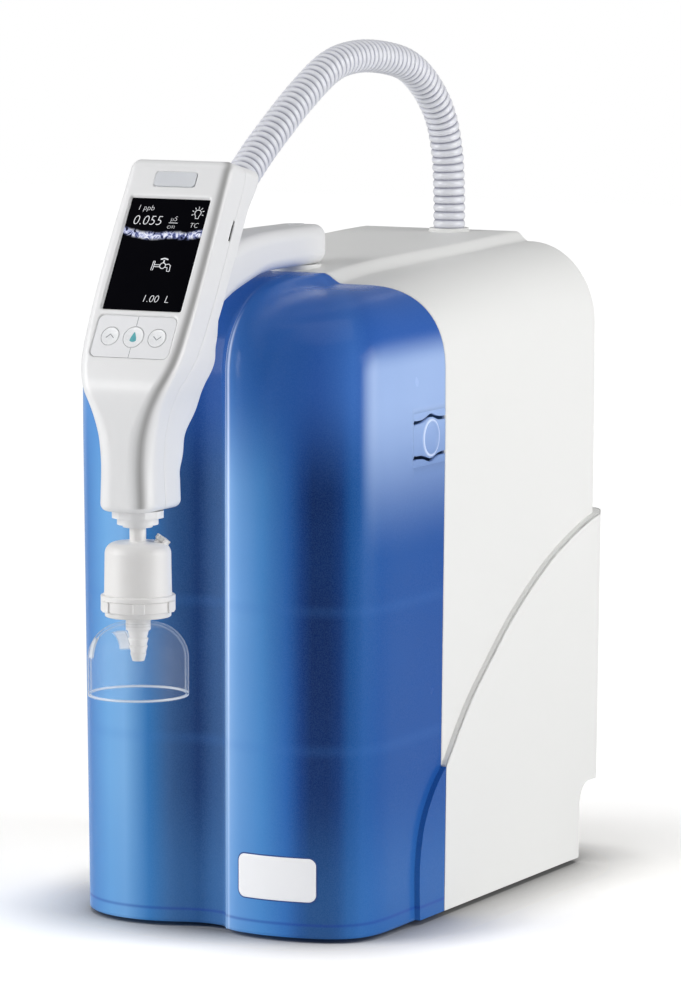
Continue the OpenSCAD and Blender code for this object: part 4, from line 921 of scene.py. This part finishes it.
# The window, keypad and badge recesses are pressed into the flat of the face.
front_grid = shell_strip(True)
from_face = front_grid - face_origin
x_at, v_at, on_plane = front_grid[:, :, 0], from_face @ up_face, np.abs(from_face @ out_face) < 0.05
window_v, keypad_v, port_v, port_n = -37.45, -93, -11, -21.5
to_window = box_distance(x_at, v_at, 0, window_v, 26.8, 37.45, 0.8)
to_keypad = box_distance(x_at, v_at, 0, keypad_v, 27.0, 14.1, 4.2)
to_badge = box_distance(x_at, v_at, 0, 12.5, 14.2, 4.9, 1.6)
pressed = 1.35 * np.clip(1 - to_window / 1.1, 0, 1) + 1.6 * ease((0.1 - to_window) / 0.7)
pressed += 0.8 * ease(0.5 - to_keypad / 0.8) + 1.8 * ease((-0.1 - to_keypad) / 0.7)
pressed += 1.3 * ease(0.5 - to_badge / 0.7)
front_grid -= (pressed * on_plane)[:, :, None] * out_face


def port_side(x, y, z):
    """A place on the right side of the head: x up the face, y out of the face."""
    x, y, z = np.broadcast_arrays(np.asarray(x, float), y, z)
    return face(35 + z * 0.9, x, y)


def port_hole(p):
    """True for the squares of the shell over the service port."""
    v, n = (p - face_origin) @ up_face, (p - face_origin) @ out_face
    return (p[:, 0] > 34) & (np.abs(v - port_v) < 6.9) & (np.abs(n - port_n) < 2.7)


def hook_hole(p):
    """True for the squares of the shell over the slot that the arm's hook fills."""
    return (np.abs(p[:, 0]) < 8.6) & (p[:, 2] > 371.2) & (p[:, 2] < 393) & (p[:, 1] > -165)


def slab(place, cx, cy, a, b, r, levels):
    """A rounded plate: levels are (inset, height) pairs; None closes it."""
    rows = []
    for inset, height in levels:
        loop = (np.array([[cx, cy]] * 80) if inset is None
                else rounded_loop(cx, cy, a - inset, b - inset, max(r - inset, 0.2)))
        rows.append(place(loop[:, 0], loop[:, 1], height))
    return (np.array(rows), False, True)


def grip_paint(place):
    """Smooth white, with a soft grey painted shade where the right front corner turns away from the light."""
    fine = place.noise(900, 2)
    colour = (place.noise(10, 3) * 0.8).blend(tint(234, 234, 234), tint(241, 241, 242))
    colour = (place.mark("corner") * 0.62).limited().blend(colour, tint(112, 110, 108))
    return {"Base Color": colour, "Roughness": 0.27 + 0.09 * fine,
            "Normal": place.relief(fine, 0.00003)}


grip_coat = finish("grip_white", {"IOR": 1.5, "Coat Weight": 0.25, "Coat Roughness": 0.12}, grip_paint)
# Painted shade along the right front corner: distance along each row from that corner, whose middle is column
# 183.
steps = np.linalg.norm(np.diff(front_grid, axis=1, prepend=front_grid[:, :1]), axis=2)
row_run = np.cumsum(steps, axis=1)
corner_shade_marks = np.exp(-((row_run - row_run[:, 183:184]) / 2.6) ** 2) * (front_grid[:, :, 2] > 272)
piece("grip_front_shell", [(front_grid, False, False)], grip_coat, "handpiece", ("handpiece_front",),
      crease=40, weld=False, marks={"corner": corner_shade_marks}, core=(0, -170, 370),
      skip=port_hole)
frame_levels = ((-0.9, -0.5), (-0.9, 0.1), (-0.6, 0.2), (0.2, 0.2), (0.3, -0.6), (0.3, -2.5))
piece("port_frame", [slab(port_side, port_v, port_n, 7.1, 2.9, 1.2, frame_levels)], grip_coat,
      "handpiece", crease=30)
piece("grip_back_shell", [(shell_strip(False), False, False)], grip_coat, "handpiece",
      ("handpiece_back",), crease=40, weld=False, core=(0, -170, 370), skip=hook_hole)

# ---- Display ----------------------------------------------------------------
# A flat glossy black window in a bevelled frame. The lit readouts, drawn in
# light lines, show purity, a lamp sign, a band of water, a tap and a volume.


def glass_paint(place):
    """Black, with a lit wavy band of foam: bright near the height of a shallow
    bowl, 434 mm up in the middle, and broken up by clouds."""
    height, width = place.part("Z"), place.part("X")
    drift = place.noise(55, 3) - 0.5
    band = (height + drift * 0.007 - width * width * 2.8).away(0.4343)
    foam = place.node("ShaderNodeTexNoise", {},
                      {"Vector": place, "Scale": 260.0, "Detail": 5.0, "Distortion": 1.4})
    lit = ((1 - band.rise(0.0007, 0.0029)) * foam.rise(0.34, 0.52)).limited()
    spray = foam.rise(0.4, 0.62).blend(tint(120, 132, 200), tint(240, 243, 255))
    return {"Base Color": place.noise(80).blend(tint(6, 6, 8), tint(9, 9, 11)),
            "Emission Color": lit.blend(tint(2, 2, 4), spray),
            "Roughness": 0.09 + 0.04 * place.noise(30)}


glass_coat = finish("display_glass", {"IOR": 1.5, "Emission Strength": 1.0, "Specular IOR Level": 0.0},
                    glass_paint)
glass_levels = ((None, -2.0), (0, -2.0), (0, -1.34), (0.1, -1.3), (None, -1.3))
piece("window_plate", [slab(face, 0, window_v, 26.7, 37.35, 0.6, glass_levels)], glass_coat,
      "handpiece", ("display_window",))


def light_paint(place):
    """Light from a printed shape: almost white, a little uneven."""
    return {"Emission Color": place.noise(300).blend(tint(226, 228, 236), tint(255, 255, 255)),
            "Roughness": 0.4 + 0.1 * place.noise(200)}


light_coat = finish("display_light", {"Base Color": tint(20, 20, 22), "Emission Strength": 0.95}, light_paint)


def lettering(name, words, height, x, v, n=-1.27, slant=0.16):
    """Words as a flat mesh on the window, centred at (x, v), letters this high.
    Leaning letters are moved sideways by slant times their height."""
    curve = bpy.data.curves.new(name, "FONT")
    curve.body, curve.align_x, curve.align_y, curve.size = words, "CENTER", "CENTER", height * 1.42
    made = bpy.data.objects.new(name, curve)
    bpy.context.collection.objects.link(made)
    curve.resolution_u, curve.offset = 4, -0.02 * curve.size
    flat = bpy.data.meshes.new_from_object(made.evaluated_get(bpy.context.evaluated_depsgraph_get()))
    bpy.data.objects.remove(made)
    co = np.empty(len(flat.vertices) * 3)
    flat.vertices.foreach_get("co", co)
    co = co.reshape(-1, 3)
    flat.vertices.foreach_set("co", seat(face(x + co[:, 0] + slant * co[:, 1], v + co[:, 1], n)).ravel())
    flat.materials.clear()
    flat.materials.append(light_coat)
    made = bpy.data.objects.new(name, flat)
    bpy.context.collection.objects.link(made)
    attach(made, "handpiece")


def ribbon(points, width, n=-1.27, closed=False):
    """A flat line of this width along points of the face."""
    p = np.asarray(points, float)
    if closed:
        p = np.vstack([p, p[:1]])
    t = unit(np.gradient(p, axis=0))
    side = np.stack([-t[:, 1], t[:, 0]], 1) * width / 2
    return (np.stack([face(p[:, 0] + side[:, 0], p[:, 1] + side[:, 1], n),
                      face(p[:, 0] - side[:, 0], p[:, 1] - side[:, 1], n)], 1), False, False)


def arc(cx, cy, r, start, stop, count=24):
    """Points on a circle of radius r from start to stop degrees."""
    w = np.radians(np.linspace(start, stop, count))
    return np.stack([cx + r * np.cos(w), cy + r * np.sin(w)], 1)


lettering("reading_carbon", "1 ppb", 3.6, -15.4, -6.6)
lettering("reading_conductivity", "0.055", 6.4, -12.0, -15.2)
lettering("reading_unit_top", "µS", 3.2, 5.6, -13.4)
lettering("reading_unit_low", "cm", 3.2, 4.8, -18.6)
lettering("reading_mode", "TC", 3.2, 20.2, -17.4)
lettering("reading_volume", "1.00  L", 4.8, 7.6, -67.2)
signs = [ribbon([[2.6, -16.1], [8.6, -16.1]], 0.35)]
lamp_x, lamp_v = 20.6, -9.0
signs += [ribbon(arc(lamp_x, lamp_v, 2.1, -50, 230), 0.42),
          ribbon([[19.4, -10.8], [19.6, -12.6], [21.6, -12.6], [21.9, -10.8]], 0.4)]
for a in (-20, 20, 55, 90, 125, 160, 200):
    c, s = math.cos(math.radians(a)), math.sin(math.radians(a))
    signs.append(ribbon([[lamp_x + r * c, lamp_v + r * s] for r in (3.0, 4.3)], 0.4))
signs += [ribbon(arc(6.2, -44.8, 1.9, 0, 360), 0.45), ribbon([[4.3, -44.3], [0.6, -44.3]], 0.4),
          ribbon([[4.3, -45.6], [0.6, -45.6]], 0.4),
          ribbon([[0.5, -42.0], [-0.6, -42.0], [-1.1, -48.0], [0.1, -48.0]], 0.45, closed=True),
          ribbon([[8.1, -44.0], [10.2, -43.6], [11.5, -44.6], [11.6, -48.4]], 0.45),
          ribbon([[8.0, -45.8], [9.6, -45.9], [9.8, -48.4], [11.6, -48.4]], 0.45),
          ribbon([[6.4, -42.9], [6.4, -41.0]], 0.8), ribbon([[3.9, -40.6], [6.4, -39.9], [9.0, -40.6]], 0.8)]
piece("display_signs", signs, light_coat, "handpiece", weld=False)

# ---- Keypad -----------------------------------------------------------------
# A white plate with three round wells. The arrow keys and the dispense key are
# shallow domed caps; each slides in its well and stands a little out of it.


def key_cap(x, diameter):
    """A round key: a side wall, a rounded edge and a slightly hollow top."""
    r = diameter / 2
    f = np.radians(np.linspace(0, 90, 8))
    line = [(0, -3.4), (r, -3.4)] + [(r - 0.5 + 0.5 * math.cos(a), -0.9 + 0.5 * math.sin(a)) for a in f]
    line += [(r * s, -0.4 - 0.22 * (1 - s * s)) for s in (0.85, 0.7, 0.5, 0.3, 0.0)]
    p = np.array(line)
    w = np.linspace(0, 2 * np.pi, 64, endpoint=False)
    return (face(x + p[:, :1] * np.cos(w), keypad_v + p[:, :1] * np.sin(w), np.repeat(p[:, 1:], 64, 1)),
            False, True)


def key_paint(place):
    """Polished white."""
    return {"Base Color": place.noise(120).blend(tint(236, 237, 239), tint(245, 246, 247)),
            "Roughness": 0.22 + 0.1 * place.noise(400)}


def ink_paint(place):
    """Dull grey ink."""
    return {"Base Color": place.noise(300).blend(tint(104, 110, 116), tint(124, 130, 136)),
            "Roughness": 0.4 + 0.1 * place.noise(300)}


def drop_paint(place):
    """Blue-green ink, a little glossy."""
    return {"Base Color": place.noise(260).blend(tint(62, 158, 170), tint(96, 184, 190)),
            "Roughness": 0.28 + 0.1 * place.noise(300)}


key_coat = finish("key_white", {"IOR": 1.5, "Coat Weight": 0.3}, key_paint)
ink_coat = finish("key_ink", {"IOR": 1.5}, ink_paint)
drop_coat = finish("key_drop", {"IOR": 1.5}, drop_paint)
print_n = -0.57
for name, x, diameter in (("up", -16, 11.8), ("dispense", 0, 13.6), ("down", 16, 11.8)):
    piece(f"{name}_cap", [key_cap(x, diameter)], key_coat, f"{name}_key", (f"{name}_button",))
    if name == "dispense":
        # The outline of a drop, shrunk towards its middle in two steps.
        w, drop_v = np.linspace(0, 2 * np.pi, 60), -93.8
        drop_x, rim_v = 3.1 * np.sin(w) * np.sin(w / 2) ** 1.6, -93.2 + 4.3 * np.cos(w)
        fan = [face(drop_x * s, drop_v + (rim_v - drop_v) * s, print_n) for s in (1.0, 0.5, 0.0)]
        piece("drop_mark", [(np.array(fan), False, False)], drop_coat, "dispense_key",
              weld=False)
    else:
        s = 1 if name == "up" else -1
        arrow = [[x - 2.6, keypad_v - 1.1 * s], [x, keypad_v + 1.3 * s], [x + 2.6, keypad_v - 1.1 * s]]
        piece(f"{name}_mark", [ribbon(arrow, 0.5, n=-0.56)], ink_coat, f"{name}_key",
              weld=False)
piece("keypad_lines", [ribbon([[0, -79.4], [0, -85.6]], 0.3, n=print_n),
                       ribbon([[0, -100.4], [0, -106.6]], 0.3, n=print_n)],
      ink_coat, "handpiece", weld=False)

# ---- Outlet -----------------------------------------------------------------
# Under the handle a bayonet collar holds the stem of a white filter capsule
# with a vent screw on its shoulder; a clear filling bell hangs on its neck.

outlet_y = -191.5


def arc_line(*bend):
    """The same points as arc, as a list that a profile can be put together from."""
    return [tuple(point) for point in arc(*bend)]


top_line = [(2.5, 214.7), (2.5, 262), (5, 262), (5, 250.4)] + arc_line(5.7, 250.4, 0.7, 180, 270, 5)
top_line += [(9, 249.45)] + arc_line(13, 242.4, 7, 84, 2, 18) + [(20.35, 220), (20.6, 217.9)]
top_line += arc_line(21.7, 216.9, 0.8, 90, 0, 6) + [(22.5, 214.75), (22.3, 214.72), (2.5, 214.7)]
base_line = [(2.5, 214.6), (22.2, 214.6), (22.5, 214.3), (22.5, 208.4), (22.2, 208.05), (20, 208), (20, 205)]
base_line += arc_line(19.2, 205.2, 0.8, 0, -90, 6)
base_line += [(8, 204.3), (7.5, 204), (7.5, 196.4), (7.2, 196), (6.4, 196), (5.2, 191), (6.1, 191),
              (6.15, 190.8), (4.9, 186.4), (5.6, 186.4), (5.65, 186.2), (4.4, 182), (4.95, 182),
              (3.6, 177.3), (3.3, 177.2), (2.5, 177.2), (2.5, 214.6)]


def lug(turn):
    """A rounded block on the rim of the disc, turned by this angle about it."""
    c, s = math.cos(turn), math.sin(turn)

    def on_rim(x, y, z):
        """A place x along the rim, y high and z out from the axis."""
        x, y, z = np.broadcast_arrays(x, y, z)
        return np.stack([c * z - s * x, outlet_y + s * z + c * x, y], -1)

    return slab(on_rim, 0, 211.35, 3.5, 3.3, 0.8,
                ((None, 20), (0, 20), (0, 23.0), (0.3, 23.3), (None, 23.3)))


def capsule_paint(place):
    """Warm white, satin."""
    fine = place.noise(800, 2)
    return {"Base Color": (place.noise(40, 2) * 0.9).blend(tint(232, 230, 228), tint(241, 240, 239)),
            "Roughness": 0.33 + 0.1 * fine, "Normal": place.relief(fine, 0.00003)}


capsule_coat = finish("capsule_white", {"IOR": 1.5, "Subsurface Weight": 0.08,
                                        "Subsurface Radius": (0.003, 0.003, 0.003)}, capsule_paint)
piece("capsule_dome", [turned(0, outlet_y, top_line)], capsule_coat, "handpiece", ("capsule_top",),
      crease=40)
piece("capsule_disc", [turned(0, outlet_y, base_line)] + [lug(k * math.pi / 3) for k in range(6)],
      capsule_coat, "handpiece", ("capsule_base",), crease=40)
vent_turn, vent_lean, vent_out, vent_high = math.radians(30), math.radians(35), 12.6, 247.5


def at_vent(x, y, z):
    """A place in the frame of the vent, which leans 35 degrees off the axis."""
    x, y, z = np.broadcast_arrays(x, y, z)
    out = vent_out + x * math.cos(vent_lean) + z * math.sin(vent_lean)
    high = vent_high - x * math.sin(vent_lean) + z * math.cos(vent_lean)
    return np.stack([out * math.cos(vent_turn) - y * math.sin(vent_turn),
                     outlet_y + out * math.sin(vent_turn) + y * math.cos(vent_turn), high], -1)


def vent_ring(profile, count=48):
    """A profile of (radius, height) points turned about the vent's axis."""
    p = np.array(profile)
    w = np.linspace(0, 2 * np.pi, count, endpoint=False)
    return (at_vent(p[:, :1] * np.cos(w), p[:, :1] * np.sin(w), np.repeat(p[:, 1:], count, 1)), False, True)


piece("vent_boss", [vent_ring([(2.4, -4.5), (3.6, -4.5), (3.6, 2.1), (3.4, 2.3), (2.4, 2.3), (2.4, -4.5)])],
      capsule_coat, "handpiece")

bell_line = [(7.8, 200.5), (8.5, 200.5)] + arc_line(8.5, 178.5, 22, 90, 0, 40)
bell_line += [(30.5, 157.0), (30.3, 156.3), (29.9, 156.0), (29.3, 156.2), (28.9, 156.9), (28.9, 178.5)]
bell_line += arc_line(8.5, 178.5, 20.4, 0, 90, 40)[1:] + [(7.8, 198.9), (7.8, 200.5)]


def bell_paint(place):
    """Clear where it is seen square on, milky where it turns away, a painted sheen
    on its grazing edges, with a denser line at the lip and a painted glint, a
    highlight, on the left shoulder."""
    fine, across_x, height = place.noise(60, 3), place.part("X"), place.part("Z")
    edge_on = place.node("ShaderNodeLayerWeight", {}, {"Blend": 0.32}, "Facing")
    lip = height.bump_at(0.1600, 0.0011)
    # A painted highlight on the left shoulder.
    painted_glint = across_x.bump_at(-0.0205, 0.0035).rise(0.1, 0.5) * height.bump_at(0.1890, 0.0085).rise(0.1, 0.4)
    cover = 0.02 + 0.75 * edge_on.rise(0.5, 0.95) + 0.01 * fine + 0.6 * lip + 0.8 * painted_glint
    return {"Base Color": (edge_on * edge_on).blend(tint(240, 245, 250), tint(216, 224, 234)),
            "Roughness": 0.03 + 0.02 * fine, "Alpha": cover.limited()}


bell_coat = finish("bell_clear", {"IOR": 1.45, "Coat Weight": 0.2, "Coat Roughness": 0.03}, bell_paint)
piece("bell_shell", [turned(0, outlet_y, bell_line, 120)], bell_coat, "bell", ("filling_bell",),
      crease=55)

# ---- Metal, rubber and the parts left as built -------------------------------
# The remaining pieces keep their built shape: glands, collar, vent screw, feet,
# rear panel and its inlet, and what lies inside. Each gets its own surface.


def mottled(name, dark, light, rough, constants=(), scale=40.0, relief=0.00003):
    """A finish whose colour and gloss drift between two values over the piece."""
    def vary(place):
        """Clouds for the colour and finer ones for the gloss and the bumps."""
        fine = place.noise(900, 2)
        return {"Base Color": place.noise(scale, 3).blend(dark, light),
                "Roughness": rough - 0.05 + 0.1 * fine, "Normal": place.relief(fine, relief)}
    return finish(name, {"IOR": 1.5, **dict(constants)}, vary)


def brushed(name, dark, light, along=(1.0, 60.0, 60.0)):
    """Metal with fine scratches along one direction, stretched in the noise."""
    def vary(place):
        """One stretched noise for the colour, the gloss and the bumps."""
        lines = place.node("ShaderNodeMapping", {}, {"Vector": place, "Scale": along}).noise(60, 3)
        return {"Base Color": lines.blend(dark, light), "Roughness": 0.25 + 0.2 * lines,
                "Normal": place.relief(lines, 0.00002)}
    return finish(name, {"Metallic": 1.0}, vary)


coats = {
    "steel": brushed("steel_brushed", tint(150, 152, 155), tint(196, 198, 200)),
    "zinc": brushed("zinc_plate", tint(128, 130, 132), tint(176, 178, 180), (60.0, 60.0, 1.0)),
    "rubber": mottled("rubber_dark", tint(34, 34, 36), tint(48, 48, 50), 0.75, relief=0.0001),
    "dark": mottled("dark_plastic", tint(38, 39, 42), tint(54, 55, 58), 0.45),
    "grey": mottled("grey_plastic", tint(196, 197, 199), tint(212, 213, 215), 0.45, relief=0.0001),
    "white": gloss_coat,
    "natural": mottled("natural_plastic", tint(206, 212, 214), tint(226, 230, 232), 0.3,
                       {"Subsurface Weight": 0.1}),
    "board": mottled("board_green", tint(16, 84, 54), tint(28, 108, 70), 0.4, scale=160.0),
    "cartridge": mottled("cartridge_blue", tint(120, 150, 196), tint(146, 172, 210), 0.35),
    "mark": mottled("badge_face", tint(208, 211, 216), tint(226, 228, 232), 0.25, {"Coat Weight": 0.5}),
    "keypad": mottled("keypad_white", tint(230, 231, 233), tint(240, 240, 242), 0.35),
    "capsule": capsule_coat, "grip": grip_coat, "housing": housing_coat,
}
worn_by = {
    "housing": ["turret", "hose_gland", "handpiece_gland"],
    "grey": ["rear_panel", "base_plate", "pump_head", "cartridge_clip", "arm_cap"],
    "rubber": ["feet"],
    "zinc": ["bulkhead", "power_supply", "uv_reactor", "pump_motor", "pressure_regulator"],
    "steel": ["base_screws", "panel_screws", "swivel_pin", "arm_hanger", "pump_shaft"],
    "dark": ["swivel_bush", "display_module", "service_port", "uv_end_caps", "solenoid_valve",
             "conductivity_cell", "mains_inlet", "rocker_switch", "cartridge_head"],
    "board": ["handpiece_board", "control_board"],
    "keypad": ["keypad_panel"],
    "mark": ["handpiece_badge"],
    "natural": ["outlet_tube", "inner_tubing", "feed_inlet", "drain_outlet", "filter_membrane"],
    "grip": ["bayonet_collar"],
    "capsule": ["vent_screw"],
    "white": ["ultrafilter"],
    "cartridge": ["purification_cartridge"],
}
for coat, wearers in worn_by.items():
    for wearer in wearers:
        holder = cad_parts[wearer]
        if not holder.material_slots:
            holder.data.materials.append(coats[coat])
        for slot in holder.material_slots:
            slot.material = coats[coat]

# ---- Floor and light --------------------------------------------------------
# A pale bench that fades into a white room, and close to the unit a painted
# contact shadow darkens it. A large soft light stands ahead on the left, a
# second one to the right and behind, and a weak one overhead; a dark flag
# shades the right front.

floor = bpy.data.objects.new("floor", bpy.data.meshes.new("floor"))
floor.data.from_pydata([(-6, -6, 0), (6, -6, 0), (6, 6, 0), (-6, 6, 0)], [], [(0, 1, 2, 3)])
bpy.context.collection.objects.link(floor)
ground = bpy.data.materials.new("floor_white")
ground.use_nodes = True
ground.node_tree.nodes.clear()
spot = Paint(ground.node_tree).node("ShaderNodeTexCoord", out="Object")
far_off = spot.node("ShaderNodeVectorMath", {"operation": "LENGTH"}, {0: spot}, "Value").rise(0.25, 0.52)
pale, near, shadow_grey = (spot.node("ShaderNodeBsdfDiffuse", {}, {"Color": (*light, 1)})
                   for light in ((0.86, 0.86, 0.86), (1.42, 1.40, 1.37), (0.20, 0.20, 0.20)))
clear = spot.node("ShaderNodeEmission", {}, {"Strength": 1.05})
# Painted contact shadow: where the unit hides the sky, the bench is mixed towards a dim grey.
contact_shadow = 1 - spot.node("ShaderNodeAmbientOcclusion", {}, {"Distance": 0.07}, "AO")
bench = spot.node("ShaderNodeMixShader", {}, {0: (contact_shadow * 1.6).limited(), 1: near, 2: shadow_grey})
shown = spot.node("ShaderNodeMixShader", {}, {0: far_off, 1: bench, 2: clear})
seen = spot.node("ShaderNodeLightPath", out="Is Camera Ray")
both = spot.node("ShaderNodeMixShader", {}, {0: seen, 1: pale, 2: shown})
spot.node("ShaderNodeOutputMaterial", {}, {0: both}, None)
floor.data.materials.append(ground)

room = bpy.data.worlds.new("room")
bpy.context.scene.world = room
room.use_nodes = True
room.node_tree.nodes.clear()
air = Paint(room.node_tree)
seen, through = (air.node("ShaderNodeLightPath", out=f"Is {kind} Ray") for kind in ("Camera", "Transmission"))
lamp = air.node("ShaderNodeBackground", {}, {"Color": (0.97, 0.98, 1.0, 1), "Strength": 0.24})
white = air.node("ShaderNodeBackground", {}, {"Color": (1, 1, 1, 1), "Strength": 1.0})
either = air.sum("MAXIMUM", seen, through)
mixed = air.node("ShaderNodeMixShader", {}, {0: either, 1: lamp, 2: white})
air.node("ShaderNodeOutputWorld", {}, {0: mixed}, None)

for name, place, size, power in (
        ("left_front", (-1.35, -1.25, 0.95), (1.3, 1.5), 27.0),
        ("right_side", (1.75, 0.25, 0.75), (1.3, 1.4), 24.0),
        ("overhead", (-0.1, -0.1, 1.9), (1.2, 1.2), 5.0)):
    light = bpy.data.lights.new(name, "AREA")
    light.shape, light.energy = "RECTANGLE", power
    light.size, light.size_y = size
    lamp_object = bpy.data.objects.new(name, light)
    lamp_object.location = place
    lamp_object.rotation_euler = (Vector((0, 0, 0.25)) - Vector(place)).to_track_quat("-Z", "Y").to_euler()
    bpy.context.collection.objects.link(lamp_object)

flag = bpy.data.objects.new("flag", bpy.data.meshes.new("flag"))
flag.data.from_pydata([(-0.24, -0.5, 0), (0.24, -0.5, 0), (0.24, 0.5, 0), (-0.24, 0.5, 0)], [],
                      [(0, 1, 2, 3)])
flag.location = (0.92, -0.86, 0.55)
flag.rotation_euler = (Vector((0, 0, 0.3)) - flag.location).to_track_quat("Z", "Y").to_euler()
flag.data.materials.append(mottled("flag_black", tint(8, 8, 8), tint(14, 14, 14), 0.9))
flag.visible_camera = False
bpy.context.collection.objects.link(flag)

bpy.context.scene.view_settings.view_transform = "Standard"
